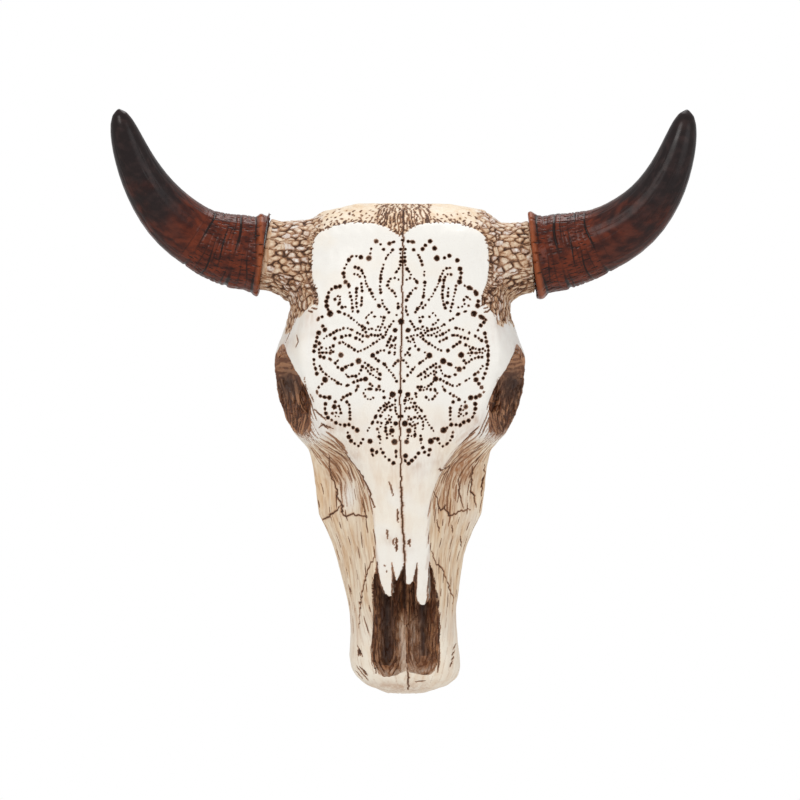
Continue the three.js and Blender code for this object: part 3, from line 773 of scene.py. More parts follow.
for name, region, spacing, *ways, unsteady in CHEEK_STROKES:
    print(name, "strokes:", skin.strokes(region, spacing, cheek_grain, *ways, unsteady=unsteady))
brown = sum(patch(*each) for each in BROWN_PATCHES)
brown *= cheek_region * np.clip(0.8 + 0.5 * fine + 0.4 * coarse, 0, 1)
skin.stain = np.maximum(skin.stain, brown)
skin.stain *= 1 - WHITE_STAIN * white_patch
skin.wash *= 1 - WHITE_WASH * white_patch * (up < 0)

# %% [markdown]
# Cracks and short dashes are drawn where the photo shows the larger ones: each is a line across and up, in
# mm, that is dropped onto the skin and wanders a little. A wide soft stain comes first, and the cut goes down
# its middle. The seam runs the length of the face, in stretches that leave out the nasal opening's top.

# %% Cracks, dashes and the seam
CRACKS = [
    [(-50.4, -37.8), (-48.6, -52.8), (-43.8, -65.3), (-43.8, -68.8), (-40.6, -74.1), (-41.1, -77.7),
     (-38.9, -81.7), (-34, -79.1), (-31.4, -80.8), (-27, -79.9), (-23.8, -82.1), (-25.1, -79.5), (-27.8, -75),
     (-28.3, -71.6)],
    [(-41.5, -74.1), (-48.2, -79.9), (-54.9, -84.8)],
    [(-41.1, -32.9), (-36.7, -38.7), (-30.5, -46.7), (-27, -51.1), (-22.5, -60), (-18.1, -74.1)],
    [(-18.4, -108.4), (-22.2, -116), (-25, -127.1), (-27.2, -134.8), (-28.1, -143.1), (-28.8, -159.7)],
    [(24.2, -63.1), (28.1, -68.8), (29.1, -75.2), (30.2, -77.6), (33.3, -74.3), (33.8, -77.3), (35.8, -80.8),
     (43.7, -77.3), (49.3, -76.6)],
    [(42.2, -56), (42.2, -66), (44.4, -75.2)],
    [(51.4, -45.4), (50.4, -53.8), (50.7, -56.7), (49.3, -62.4), (52.1, -68.1), (53.5, -75)],
    [(26.7, -46.8), (30.9, -48.9), (35.8, -46.8), (35.2, -50.3), (31.6, -52.5)],
    [(59.7, -45.2), (59.1, -52.5), (57.7, -61), (57.5, -67.4)],
    [(-1.5, -152.5), (2.5, -156.5), (5.6, -158.5), (8.2, -155.5), (12.5, -151.8)],
    [(22.1, -104.4), (24.9, -111.4), (29.9, -117.8), (33.5, -127.1), (37, -136.9), (37.4, -143.3)],
]
DASHES = [
    [(27.4, -83.4), (28.1, -92.1)], [(36.5, -87.2), (37.3, -92.9)], [(42.4, -95.2), (43.1, -103.5)],
    [(-7.4, -55.9), (-4.7, -65.6)], [(-1.7, -75.3), (-1.4, -84)], [(-8.7, -89.4), (-8.7, -95.6)],
    [(-11.1, -114), (-9.2, -118.7)], [(-76.6, 46.6), (-80, 39.7)],
    [(-71.3, 44.8), (-70.1, 40.2), (-71.9, 36.2)],
    [(-65.2, 16.2), (-66, 14), (-63.8, 7.1)], [(-62, 4.3), (-59.2, -1.4)], [(-59.8, -6), (-51.2, -13.4)],
    [(-55.9, -19.2), (-53, -16.9), (-46.2, -19.7)], [(-36.1, -129.9), (-34.9, -134.1)],
    [(10.8, -197.6), (17.3, -196.8)], [(-30.2, -171.8), (-26.3, -179.7)], [(39.5, -171.5), (37.2, -175)],
    [(38.6, -176), (36.4, -179)], [(38.2, -179.8), (35.9, -182.6)], [(36.8, -183.6), (35.2, -187)],
    [(-30.5, -187), (-26.8, -191.8), (-22.5, -196.8)], [(-28.2, -187), (-24.2, -192.5)],
    [(-31, -190.6), (-26.5, -196)], [(-26, -188.6), (-22.8, -193.4)], [(2.6, -93.5), (3.2, -99)],
]
BLOTCHES = [
    # middle and radius
    ((-3.6, -96), 1.6), ((6.4, -97), 1.3), ((-2.6, -101), 1.1), ((-35.6, -131.6), 1.2), ((-28.6, -175), 1.8),
]
SEAM_RUNS = [(134, 112, 1.8), (114, -63, 1.5), (-60, -114, 2.1), (-150, -206.5, 1.7)]
# each kind of line: how it wanders, its step, the width and stain of its halo, then its cut
CRACK = {"wander": 0.42, "step": 1.4, "halo": 4.2, "stain": 0.6, "cut": ((1.8, 2.4), 1.2, 1.0)}
DASH = {"wander": 0.15, "step": 0.5, "halo": 2.8, "stain": 0.45, "cut": (1.7, 0.8, 0.95)}
for kind, lines in ((CRACK, CRACKS), (DASH, DASHES)):
    for corners in lines:
        path = skin.line(corners, kind["wander"], kind["step"])
        skin.groove(path, kind["halo"], 0.0, 0.0, kind["stain"])
        skin.groove(path, *(pick(value) for value in kind["cut"]))
for (x, z), radius in BLOTCHES:
    for _ in range(3):
        spot = (x + rng.normal(0, 0.7), z + rng.normal(0, 1.0))
        path = skin.line([spot, (spot[0] + 0.3, spot[1] - 2.2 * radius)], 0.3)
        skin.groove(path, 1.2 * radius, 0.6, 0.9, stain=0.8)
for top, low, width in SEAM_RUNS:
    corners = [(seam_across(z) + rng.normal(0, 0.25), z) for z in np.arange(top, low, -3.0)]
    path = skin.line(corners, 0.06)
    skin.groove(path, 2.4 * width, 0.0, 0.0, stain=0.35, tapers=False)
    skin.groove(path, width, 1.3, 1.0, tapers=False)
print("points with wash:", int((skin.wash > 0.5).sum()))

# %% [markdown]
# The nasal opening is dark and streaked from top to bottom. The septum between its troughs is pale, split by
# the seam, and so is the rim at the lower end. Where it is pale and where its troughs are darkest, with
# painted shade, are soft strips, placed by how far they lie from the seam.

# %% Streak the nasal opening
SEPTUM = {
    "from": -146, "full": -158,
    "strip": -3.2, "strip_half": 3.7,
    "slope": 4.6, "slope_half": 3.6, "slope_strength": 0.6,
}
# Troughs of the nasal opening that get painted shade: middle across, half width and lowest height.
TROUGHS = [(-9.5, 4.6, -186), (15.8, 3.4, -180), (3.0, 1.6, -146)]
LOW_RIM = {"up": (182, 188), "inside": (-7, -1.5), "strength": 0.75}


def down(index):
    return np.array([0.0, 0, -1])


opening_cell, _ = lay_cells(in_opening, 3.4, down, 5.0, 1.6, 1.0, 0.9, 0.7, 0.05)
streaked = in_opening & (up > -176)
skin.strokes(streaked, 4.6, down, (6, 22), (1.3, 2.8), (0.4, 1.2), (0.7, 1), (0, 0), unsteady=0.06)
off_seam = across - seam_across(up) + 0.8 * fine
fork = smoothstep(-SEPTUM["from"], -SEPTUM["full"], -up)
strip = hump(SEPTUM["strip"], SEPTUM["strip_half"], off_seam)
slope = SEPTUM["slope_strength"] * hump(SEPTUM["slope"], SEPTUM["slope_half"], off_seam)
septum = np.maximum(strip, slope) * fork * in_opening
low_rim = smoothstep(*LOW_RIM["up"], -up + 1.5 * fine) * smoothstep(*LOW_RIM["inside"], off_opening)
pale = np.maximum(septum, LOW_RIM["strength"] * low_rim)
# Painted shade along the troughs of the nasal opening, fading out towards its rim.
trough_shade = sum(hump(middle, half, across) * (up > low) for middle, half, low in TROUGHS)
trough_shade = np.clip(trough_shade, 0, 1) * smoothstep(0.5, 3.5, -off_opening)
print("points of the nasal opening:", int(in_opening.sum()))

# %% [markdown]
# Now the brush. On the real cast, wash and stain were rubbed on and wiped off, so they stay in the cuts, the
# hollows and a few soft patches. Each layer of paint is gathered as one number per point, from 0 to 1: wash,
# stain with the painted shade beside the cuts, cream, umber, and dark, which is painted shade in the middle
# of the eye sockets and in the troughs of the nasal opening. The numbers are stored on the mesh and travel
# with it.

# %% Gather the paint
STAIN_PATCHES = [
    # middle, reach and strength of soft tan patches
    ((-62, 55), (9, 12), 0.3), ((66, 52), (8, 12), 0.25), ((-78, 40), (7, 7), 0.4), ((82, 36), (6, 8), 0.3),
    ((-48, -18), (10, 5), 0.4), ((52, -14), (9, 6), 0.45), ((-30, -38), (7, 8), 0.3),
    ((28, -42), (6, 7), 0.35), ((12, -45), (7, 6), 0.25), ((-60, -3), (5, 8), 0.25),
    ((-36, -22), (14, 14), 0.2), ((36, -20), (14, 14), 0.22), ((0, -50), (18, 16), 0.16),
    ((-6, -96), (6, 4), 0.3), ((5, -100), (5, 5), 0.3), ((0, -202), (26, 5), 0.6),
    ((-34, -150), (5, 12), 0.25), ((38, -150), (5, 14), 0.25),
]
TEMPLE_STAIN = {"strength": 0.45, "up": (70, 92)}
SEAT_STAIN = 0.75
CREAM = {"crown": (0, 1), "cheek": (0, 0.8), "cheek_up": (22, 34), "muzzle_less": 0.4, "white_less": 0.8}
WARM_IVORY = {"strength": 0.4, "up": (-5, 40), "nose": (80, 105), "nose_less": 0.6}
SEPTUM_CLEAN = 0.85
SEPTUM_STAIN = 0.3
SOCKET_FOOT = {"up": (-27, -20), "umber": 0.15}
# Painted shade: where the middle of each eye socket is darkened, and how dark the deepest hollows get at
# most.
SOCKET_SHADE = {"across": (79, 9), "up": (11, 11)}
DEEPEST_SHADE = 0.9
PALE_LESS = 0.95


def stain_at_least(amount):
    skin.stain = np.maximum(skin.stain, amount)


stain_at_least(sum(patch(*each) for each in STAIN_PATCHES) * (0.75 + 0.25 * fine))
stain_at_least(TEMPLE_STAIN["strength"] * temple * fall(*TEMPLE_STAIN["up"], up))
stain_at_least(np.where(seat & (up > 60), SEAT_STAIN, 0))
stain_at_least(np.where(in_opening, SEPTUM_STAIN * pale, 0))
skin.wash *= 1 - SEPTUM_CLEAN * septum

cream_crown = np.where(crown_region | seat, smoothstep(*CREAM["crown"], off_ivory), 0)
cream_cheek = smoothstep(*CREAM["cheek"], off_ivory) * smoothstep(*CREAM["cheek_up"], -up)
cream_cheek *= 1 - CREAM["muzzle_less"] * muzzle
warm_nose = 1 - WARM_IVORY["nose_less"] * smoothstep(*WARM_IVORY["nose"], -up)
warm_nose *= np.clip(0.9 + 0.4 * coarse, 0, 1)
cream_ivory = WARM_IVORY["strength"] * smoothstep(*WARM_IVORY["up"], -up) * warm_nose * (off_ivory < 0)
cream = np.maximum(np.maximum(cream_crown, cream_cheek), cream_ivory)
cream *= 1 - CREAM["white_less"] * white_patch

foot = SOCKET_FOOT["umber"] + (1 - SOCKET_FOOT["umber"]) * smoothstep(*SOCKET_FOOT["up"], up + 2.5 * fine)
umber = np.where(in_socket, foot, 0) + np.where(in_opening, 1 - PALE_LESS * pale, 0)
# Painted shade in the middle of each eye socket and along the nasal troughs, except where the septum is pale.
socket_shade = hump(*SOCKET_SHADE["across"], np.abs(across)) * hump(*SOCKET_SHADE["up"], up)
dark = DEEPEST_SHADE * (np.where(in_opening, trough_shade * (1 - pale), 0) + np.where(in_socket, socket_shade, 0))
print("points with wash:", int((skin.wash > 0.5).sum()))

# %% Move the points and store the paint
move_points(casting, -skin.cut * smoothstep(*WALL_SIDE, depth))
lump = rng.uniform(0, 1, crown_cell.max() + 2)[crown_cell]
for region, cell in ((in_socket, socket_cell), (in_opening, opening_cell)):
    lump = np.where(region, rng.uniform(0, 1, cell.max() + 2)[cell], lump)
PAINTS = {
    "wash": skin.wash, "stain": skin.stain, "cream": cream, "umber": umber, "dark": dark, "lump": lump,
    "gouged": crown_region * (0.15 + 0.85 * strength),
}
for name, values in PAINTS.items():
    paint(casting, name, values)
paint(casting, "carved", np.ones(len(skin.at)))
carved_at = seen_points(casting)
print("paints stored:", sorted(PAINTS))

# %% [markdown]
# The casting is parted along lines that the eye finds anyway: the edge of the ivory, and level cuts below the
# crown, below the eye sockets and above the muzzle. A last cut takes the back off flat, where it lies on the
# wall. The level cuts lie half-way between the rows of points that the remesh left, because a cut along a row
# leaves slivers.

# %% Part the casting into pieces
FAR = 300.0
PLATE_BACK = 79.5 * VOXEL / MM
CROWN_CUT = 66.5 * VOXEL / MM
JAW_CUT = -47.5 * VOXEL / MM
MUZZLE_CUT = -200.5 * VOXEL / MM


def closed_object(name, points, faces):
    """A new object from points and faces, which are all turned outward."""
    mesh = bpy.data.meshes.new(name)
    mesh.from_pydata(points, [], faces)
    piece = bpy.data.objects.new(name, mesh)
    bpy.context.collection.objects.link(piece)
    alone(piece)
    bpy.ops.object.mode_set(mode="EDIT")
    bpy.ops.mesh.select_all(action="SELECT")
    bpy.ops.mesh.normals_make_consistent(inside=False)
    bpy.ops.object.mode_set(mode="OBJECT")
    return piece


def prism(name, outline, near, far):
    """A closed block with an outline in the wall's plane, between two depths."""
    count = len(outline)
    points = [(x * MM, -d * MM, z * MM) for d in (near, far) for x, z in outline]
    sides = [(i, (i + 1) % count, count + (i + 1) % count, count + i) for i in range(count)]
    return closed_object(name, points, [*sides, tuple(range(count)), tuple(range(count, 2 * count))])


def boolean(piece, operation, cutter):
    finish_modifier(piece, "BOOLEAN", operation=operation, object=cutter, solver="MANIFOLD")


def level_block(name, low, high, near=-FAR, far=FAR):
    """A block that reaches past the casting on all sides but lies between two heights."""
    return prism(name, [(-FAR, low), (FAR, low), (FAR, high), (-FAR, high)], near, far)


wall = level_block("wall", -FAR, FAR, far=0)
ivory_block = prism("ivory_block", plate_outline, PLATE_BACK, FAR)
nose_block = prism("nose_block", nose_outline, PLATE_BACK, FAR)
boolean(ivory_block, "UNION", nose_block)
boolean(casting, "DIFFERENCE", wall)
ground = twin_of(casting, "ground")
boolean(ground, "DIFFERENCE", ivory_block)
plate = casting
plate.name = "forehead_and_nose"
boolean(plate, "INTERSECT", ivory_block)
levels = {"crown": (CROWN_CUT, FAR), "brow": (JAW_CUT, CROWN_CUT), "jaw": (MUZZLE_CUT, JAW_CUT),
          "muzzle": (-FAR, MUZZLE_CUT)}
bone_pieces = {"plate": plate}
for name, (low, high) in levels.items():
    block = level_block(name + "_block", low, high)
    bone_pieces[name] = twin_of(ground, name)
    boolean(bone_pieces[name], "INTERSECT", block)
    bpy.data.objects.remove(block)
    print(name, "triangles:", triangles(bone_pieces[name]))
for block in (wall, ivory_block, nose_block, ground):
    bpy.data.objects.remove(block)

# %% [markdown]
# A boolean doesn't carry the paint in full to the new points along its cuts, so they would show as a pale
# line. They are told apart by the attribute "carved", which is 1 on every old point, and each takes the paint
# of the nearest point that was carved.

# %% Paint the new points along the cuts
WHOLE = 0.999
carved_tree = tree_of(carved_at.tolist())
for piece in bone_pieces.values():
    new = np.nonzero(read_paint(piece, "carved") < WHOLE)[0]
    source = [carved_tree.find(place)[1] for place in seen_points(piece)[new].tolist()]
    for layer, values in PAINTS.items():
        mended = read_paint(piece, layer)
        mended[new] = values[source]
        paint(piece, layer, mended)
    print(piece.name, "points painted anew:", len(new))

# %% [markdown]
# The pits of the ornament are bored into the ivory with a round burr. They follow curves that are drawn for
# one half and mirrored across the seam: an outer border of scallops, leaf shapes inside it and a lozenge of
# scrolls in the middle. Larger pits stand where curves meet, and small ones fill a few fields. The pattern is
# common scroll work, laid out anew by these curves, so that no two pits are quite alike.

# %% The ornament's curves, in mm from the seam and up
BORDER = [
    [(0.3, 109.7), (6.2, 108.7), (9.5, 107.5)],
    [(13.4, 103.6), (15.4, 106.6), (18.5, 109.1), (20.8, 106.1), (22, 102.5), (23.3, 97.3)],
    [(29, 97.9), (33.1, 99), (37.2, 96.1), (39.6, 90), (40.1, 85.3), (39.1, 81)],
    [(43.1, 78.2), (49.4, 75.3), (51.9, 68.4), (51.6, 64.1), (49.3, 59.2)],
    [(52.1, 58.4), (57.9, 54.8), (55.4, 52.6), (52.7, 48.2)],
    [(57.1, 46.1), (59.8, 33.5), (59.2, 23.7), (56.8, 15.3)],
    [(51.8, 13.9), (55.4, 9.3), (57.1, 6.2), (54, 2.2), (48.5, 1.6)],
    [(51.3, -2.7), (51.3, -8.2), (48.3, -13.2), (39.9, -17.2), (35.8, -16.7), (29.6, -20.7)],
    [(35.8, -22.1), (35.2, -26.2), (31.6, -30), (28.1, -31.4), (24.5, -25.9), (20.8, -28.3)],
    [(19.7, -34.3), (18.3, -39.6), (14.5, -31.9), (11.2, -37.9), (4.1, -43.6), (3.4, -35.2)],
]
LEAVES = [
    [(7.2, 103.1), (12.1, 95.9), (15.3, 82.1), (13.6, 67.3), (9.1, 60.2)],
    [(1.7, 103.3), (1.4, 97.3), (1.7, 92.4)],
    [(1.7, 91.9), (5.8, 84.8), (2.8, 82.4)],
    [(5.8, 84.2), (9.3, 81.5), (10.1, 77.7), (5.2, 72.8), (2.5, 65.2), (3.9, 58.6)],
    [(32.7, 90.8), (28.1, 88.6), (22.7, 75.5), (15.1, 64.1), (11.8, 61.9)],
    [(33.1, 86.1), (29.2, 84.6), (27.6, 70.6), (30.1, 60.8)],
    [(36.9, 78.5), (34.4, 66.3), (33.4, 60.8)],
    [(31.4, 76.1), (30.9, 64.1)],
    [(46.1, 69), (42.7, 71.7), (42.9, 66.2), (45.6, 64.3), (38.5, 63.5)],
    [(43.1, 60.8), (37.4, 58.1), (27.1, 50.2), (20.5, 48.2)],
    [(56.5, 39), (50.5, 43.9), (37.6, 49.1), (27.3, 44.4), (23.8, 43.3)],
    [(45.6, 41.9), (35.8, 44.4), (29.2, 41.4), (26.5, 40.1)],
    [(39.9, 39.7), (34.7, 35.7), (27.6, 33.7), (14.5, 41.7), (11, 44.4)],
    [(56.3, 32.4), (49.4, 32.4), (41.2, 30.8)],
    [(56, 34.1), (48.9, 35.7), (42.3, 39)],
    [(55.4, 29.7), (48.9, 28.1), (45.4, 25), (43.2, 27)],
    [(40.1, 21), (29, 26.6), (24.9, 25.7), (12.1, 16.1)],
    [(45.1, 24.2), (38.5, 18.2), (35, 15.8), (29.2, 17.2), (26.5, 22.6)],
    [(56, 23.2), (51.9, 18), (39.9, 10.3), (36.7, 9.8), (27.1, 14.1)],
    [(29.2, 9.3), (31.4, 5.7), (39.9, 1.1), (39.6, -1.1), (35, -2.5), (34.4, -13.2)],
    [(44.5, -1.4), (45.1, -4.7), (42.3, -3.6), (39.9, -11.2)],
]
SCROLLS = [
    [(5.8, 53.7), (8.2, 50.2), (13.4, 42.2)],
    [(21.1, 59.7), (24.9, 55.3), (21.6, 51.5)],
    [(18.9, 57), (12.3, 56.4), (12.9, 53.2), (17.8, 44.4), (26.5, 47.7)],
    [(24, 6.8), (25.1, 4.1), (20.8, 0), (18.1, 1.9)],
    [(20.8, 7.3), (12.9, 6.8), (10.7, 4.6), (11.2, 1.9)],
    [(24, 14.4), (18.9, 9.5), (12.3, 9.3)],
    [(26.5, 22.1), (21.4, 21.5), (22.1, 18.8), (14.5, 14.4)],
    [(4.4, 47.7), (9.6, 37.9), (6.3, 35.1), (3.1, 30.8)],
    [(11.8, 34.6), (19.4, 30.5), (15.6, 27.5), (9.6, 22.6), (3.4, 14.4), (2, 10.6)],
    [(2, 27), (5.2, 23.2)],
    [(5.2, 3.8), (3.4, 0.2), (3.1, -7.9), (0.9, -11.2)],
    [(7.4, -1.9), (14, -6.3), (17.8, -13.9), (22.7, -21)],
    [(9.1, -4.7), (15.6, -15.6), (14, -26.5), (14.5, -31.9)],
    [(5.8, -11.7), (10.1, -17.7), (9.1, -25.9)],
    [(3.1, -16.1), (5.8, -21), (4.1, -28.7)],
]
ACCENTS = [
    (18.5, 109.1), (23.3, 97.3), (39.1, 81), (49.3, 59.2), (51.8, 13.9), (48.5, 1.6), (29.6, -20.7),
    (20.8, -28.3), (41.2, 30.8), (40.1, 21), (29, 26.6), (45.1, -4.7), (24, 14.4), (0.5, 53.7), (4.4, 47.7),
    (19.4, 30.5), (0, 5.7), (5.2, 3.8), (3.1, -16.1), (5.8, -21), (4.1, -28.7),
]
STYLES = [
    # curves, spacing and radius
    (BORDER, 3.2, 1.05), (LEAVES, 2.5, 0.8), (SCROLLS, 2.35, 0.75),
]
FIELDS = [
    # middle, reach and number of tries for fields of small loose pits
    ((51.5, 32.5), (6.5, 4.0), 40), ((14.4, 47.0), (4.0, 4.0), 24), ((20.0, 19.8), (5.0, 3.5), 26),
    ((43.5, -7.0), (3.5, 5.0), 16), ((7.0, -1.5), (4.5, 6.0), 34), ((9.5, -17.5), (5.0, 8.0), 30),
    ((6.0, 38.0), (3.5, 9.0), 20),
]
FIELD_RADIUS = (0.45, 0.95)
ACCENT_RADIUS = 1.6
ACCENT_SPREAD = (0.8, 1.15)
RADIUS_SPREAD = 0.36
WALL_BETWEEN = 0.3
LONG_SHARE = 0.2
LONG_STRETCH = (1.3, 1.8)
MISPLACED = 0.18
FINE_STEPS = 24


# %% Place the pits
def along_curve(corners, spacing):
    """Places at even spacing along a drawn curve, its corners rounded."""
    curve = np.array(rounded(corners, FINE_STEPS))
    run = np.concatenate([[0], np.cumsum(np.linalg.norm(np.diff(curve, axis=0), axis=1))])
    stops = np.linspace(0, run[-1], max(2, round(run[-1] / spacing) + 1))
    return np.stack([np.interp(stops, run, curve[:, 0]), np.interp(stops, run, curve[:, 1])], axis=1)


pits = []


def add_pit(x, z, radius, stretch=1.0, turn=0.0):
    """Keeps a pit if there is room for it beside the pits before it."""
    for ox, oz, other, other_stretch, _ in pits:
        if math.hypot(x - ox, z - oz) < radius * stretch + other * other_stretch + WALL_BETWEEN:
            return
    pits.append((x, z, radius, stretch, turn))


for side in (-1, 1):
    for x, z in ACCENTS:
        add_pit(seam_across(z) + side * x, z, ACCENT_RADIUS * rng.uniform(*ACCENT_SPREAD))
for curves, spacing, radius in STYLES:
    for side in (-1, 1):
        for corners in curves:
            places = along_curve(corners, spacing)
            for (x, z), (nx, nz) in zip(places, np.gradient(places, axis=0)):
                long = rng.uniform(*LONG_STRETCH) if rng.random() < LONG_SHARE else 1.0
                pit_x = seam_across(z) + side * x + rng.normal(0, MISPLACED)
                pit_z = z + rng.normal(0, MISPLACED)
                size = radius * rng.uniform(1 - RADIUS_SPREAD, 1 + RADIUS_SPREAD)
                add_pit(pit_x, pit_z, size, long, math.atan2(nz, side * nx))
for (x, z), (wide, tall), tries in FIELDS:
    for side in (-1, 1):
        for _ in range(tries):
            angle, reach = rng.uniform(0, 2 * math.pi), math.sqrt(rng.random())
            out_x, out_z = x + wide * reach * math.cos(angle), z + tall * reach * math.sin(angle)
            add_pit(seam_across(out_z) + side * out_x, out_z, rng.uniform(*FIELD_RADIUS))
print("pits:", len(pits))

# %% [markdown]
# Each pit is a slightly uneven tapered plug, set square to the surface around it and joined with all the
# others into one mesh. One boolean then takes every plug out of the ivory at once, which is far quicker than
# hundreds of cuts.

# %% Bore the pits
AROUND = 2.5
FRONT_NORMAL = -0.3
PIT_SIDES = 9
PIT_RISE = 1.0
PIT_FLARE = 0.12
PIT_TAPER = 0.7
PIT_UNEVEN = 0.09
PIT_DEPTH = (1.6, 0.9)

plate_at = seen_points(plate)
plate_normals = read_vectors(plate, "normal")
plate_tree = tree_of((plate_at * FLAT).tolist(), np.nonzero(plate_normals[:, 1] < FRONT_NORMAL)[0])
points, faces = [], []
for x, z, radius, stretch, turn in pits:
    near = [index for _, index, _ in plate_tree.find_range((x, 0, z), AROUND)]
    middle = Vector((x, -plate_at[near, 1].mean(), z))
    out = Vector(plate_normals[near].mean(axis=0)).normalized()
    first = Vector((math.cos(turn), 0, math.sin(turn)))
    first = (first - out * first.dot(out)).normalized()
    second = out.cross(first)
    deep = PIT_DEPTH[0] + PIT_DEPTH[1] * radius
    ring = [len(points) + k for k in range(PIT_SIDES)]
    low_ring = [k + PIT_SIDES for k in ring]
    after = zip(ring, low_ring, low_ring[1:] + low_ring[:1], ring[1:] + ring[:1])
    faces += [ring, low_ring[::-1], *after]
    for level, share in ((PIT_RISE, 1 + PIT_FLARE * PIT_RISE), (-deep, PIT_TAPER)):
        for k in range(PIT_SIDES):
            angle = 2 * math.pi * k / PIT_SIDES
            reach = radius * share * (1 + rng.uniform(-PIT_UNEVEN, PIT_UNEVEN))
            aside = first * (math.cos(angle) * reach * stretch) + second * (math.sin(angle) * reach)
            points.append(tuple((middle + out * level + aside) * MM))
plugs = closed_object("plugs", points, faces)
before = triangles(plate)
boolean(plate, "DIFFERENCE", plugs)
bpy.data.objects.remove(plugs)
print("ivory, triangles before and after boring:", before, triangles(plate))

# %% [markdown]
# Dark wash fills the real pits and is wiped off the ivory between them, which leaves a faint ring. A few pits
# hold less of it and look brown. The points in and around each pit get that wash by their distance from its
# middle.

# %% Wash in the pits
PALE_SHARE = 0.16
PALE_WASH = (0.55, 0.8)
EDGE_WASH = 0.34
PIT_EDGE = 1.12
RING = (1.1, 1.6)
LARGEST_REACH = 4

plate_at = seen_points(plate)
wash = read_paint(plate, "wash")
for x, z, radius, stretch, turn in pits:
    full = rng.uniform(*PALE_WASH) if rng.random() < PALE_SHARE else 1.0
    px, pz = plate_at[:, 0] - x, plate_at[:, 2] - z
    near = np.nonzero((np.abs(px) < LARGEST_REACH) & (np.abs(pz) < LARGEST_REACH))[0]
    px, pz = px[near], pz[near]
    along = (px * math.cos(turn) + pz * math.sin(turn)) / stretch
    aside = -px * math.sin(turn) + pz * math.cos(turn)
    off = np.hypot(along, aside) / radius
    wash[near] = np.maximum(wash[near], np.where(off < PIT_EDGE, full, EDGE_WASH * fall(*RING, off)))
paint(plate, "wash", wash)
print("points of the ivory with wash:", int((wash > 0.5).sum()))

# %% [markdown]
# The horns are cast too, but painted like real horn: red-brown at the ringed base, nearly black at the tip.
# Their rings are cut across, a bead closes the base, and short cracks run along them. How far a point lies
# along the horn's own curve drives both the cuts and the colour, so that curve is drawn first.

# %% The horns' curves and cuts
HORN_LINES = {
    # four points that pull each horn's curve, as across, out and up
    "left": [(-95.1, 52, 102.1), (-168.6, 56, 102.4), (-188.2, 78, 170.8), (-194.2, 86, 200.9)],
    "right": [(92.6, 52, 100.3), (144.7, 56, 107.6), (184.9, 78, 119), (198.2, 86, 200.5)],
}
COURSE_STEPS = 240
HORN_VOXEL = 0.6 * MM
HORN_SMOOTH_STEPS = 24
RING_CUTS = [
    # how far up the horn, how deep and how wide
    (7.2, 0.8, 1.3), (12.0, 0.6, 0.9), (15.5, 0.5, 0.9), (21.5, 1.5, 1.8), (25.5, 0.7, 0.9),
    (28.5, 0.5, 0.8), (31.5, 0.8, 1.0), (34.5, 0.5, 0.8), (37.5, 0.8, 1.0), (41.5, 0.5, 0.9),
    (47.0, 1.0, 1.3), (53.0, 0.4, 0.9),
]
RING_SHARE = 0.7
LIP = {"at": 3.2, "half": 2.3, "rise": 1.1, "edge": 1.6, "edge_half": 1.5}
HORN_STROKES = [
    # from and to along the horn, spacing, then length, width, depth, wash and stain, then step, unsteadiness
    (6, 46, 3.2, (1.5, 5), (0.9, 1.5), 0.5, (0.4, 0.9), 0.0, 0.7, 0.12),
    (-4, 6, 7.0, (3, 6), (1.0, 1.6), 0.6, (0.6, 1), 0.0, 0.7, 0.12),
    (40, 120, 8.0, (8, 26), (0.9, 1.6), 0.2, (0.1, 0.4), 0.0, 1.5, 0.04),
]


def horn_course(corners):
    """Points along a horn's curve, how far along it each one is, and the curve's direction there."""
    t = np.linspace(0, 1, COURSE_STEPS)[:, None]
    p0, p1, p2, p3 = (np.array(p, float) for p in corners)
    course = (1 - t) ** 3 * p0 + 3 * t * (1 - t) ** 2 * p1 + 3 * t * t * (1 - t) * p2 + t ** 3 * p3
    run = np.concatenate([[0], np.cumsum(np.linalg.norm(np.diff(course, axis=0), axis=1))])
    way = np.gradient(course, axis=0)
    return course, run, way / np.linalg.norm(way, axis=1)[:, None]


def cut_rings(surface, along, around):
    """Rings across a horn, none quite level and each deeper on some sides."""
    for place, deep, wide in RING_CUTS:
        swing = 0.7 * np.sin(around * 2 + place) + 0.4 * np.sin(around * 5 + 2 * place)
        amount = fall(0.2 * wide, wide, np.abs(along - place - swing))
        amount *= 0.65 + 0.35 * np.sin(around * 3 + place * 1.7)
        surface.cut += RING_SHARE * deep * amount
        surface.wash = np.maximum(surface.wash, np.clip(deep, 0, 1) * amount)


# %% Carve the horns
horns = []
for side, corners in HORN_LINES.items():
    horn = copy_of("carved_horn_" + side, ["horn_" + side])
    finish_modifier(horn, "REMESH", mode="VOXEL", voxel_size=HORN_VOXEL, adaptivity=0.0)
    finish_modifier(horn, "SMOOTH", factor=0.5, iterations=HORN_SMOOTH_STEPS)
    surface = Skin(horn)
    course, run, way = horn_course(corners)
    guide = tree_of(course.tolist())
    nearest = np.array([guide.find(place)[1] for place in surface.at.tolist()])
    away, own_way = surface.at - course[nearest], way[nearest]
    along = run[nearest] + (away * own_way).sum(axis=1)
    around = np.arctan2(away[:, 1], away[:, 2] * np.abs(own_way[:, 0]) - away[:, 0] * own_way[:, 2])
    cut_rings(surface, along, around)
    lip = hump(LIP["at"], LIP["half"], along)
    surface.cut += LIP["edge"] * fall(-LIP["edge_half"], LIP["edge_half"], along) - LIP["rise"] * lip
    for low, high, spacing, *values in HORN_STROKES:
        surface.strokes((along > low) & (along < high), spacing, own_way.__getitem__, *values)
    move_points(horn, -surface.cut)
    for name, values in {"wash": surface.wash, "along": along / run[-1], "lip": lip}.items():
        paint(horn, name, values)
    horns.append(horn)
    print(horn.name, "triangles:", triangles(horn))

# %% [markdown]
# Every piece is kept within the size of the CAD part, since carving can push a point past it by a hair, and
# shaded smooth except over its crisp edges.

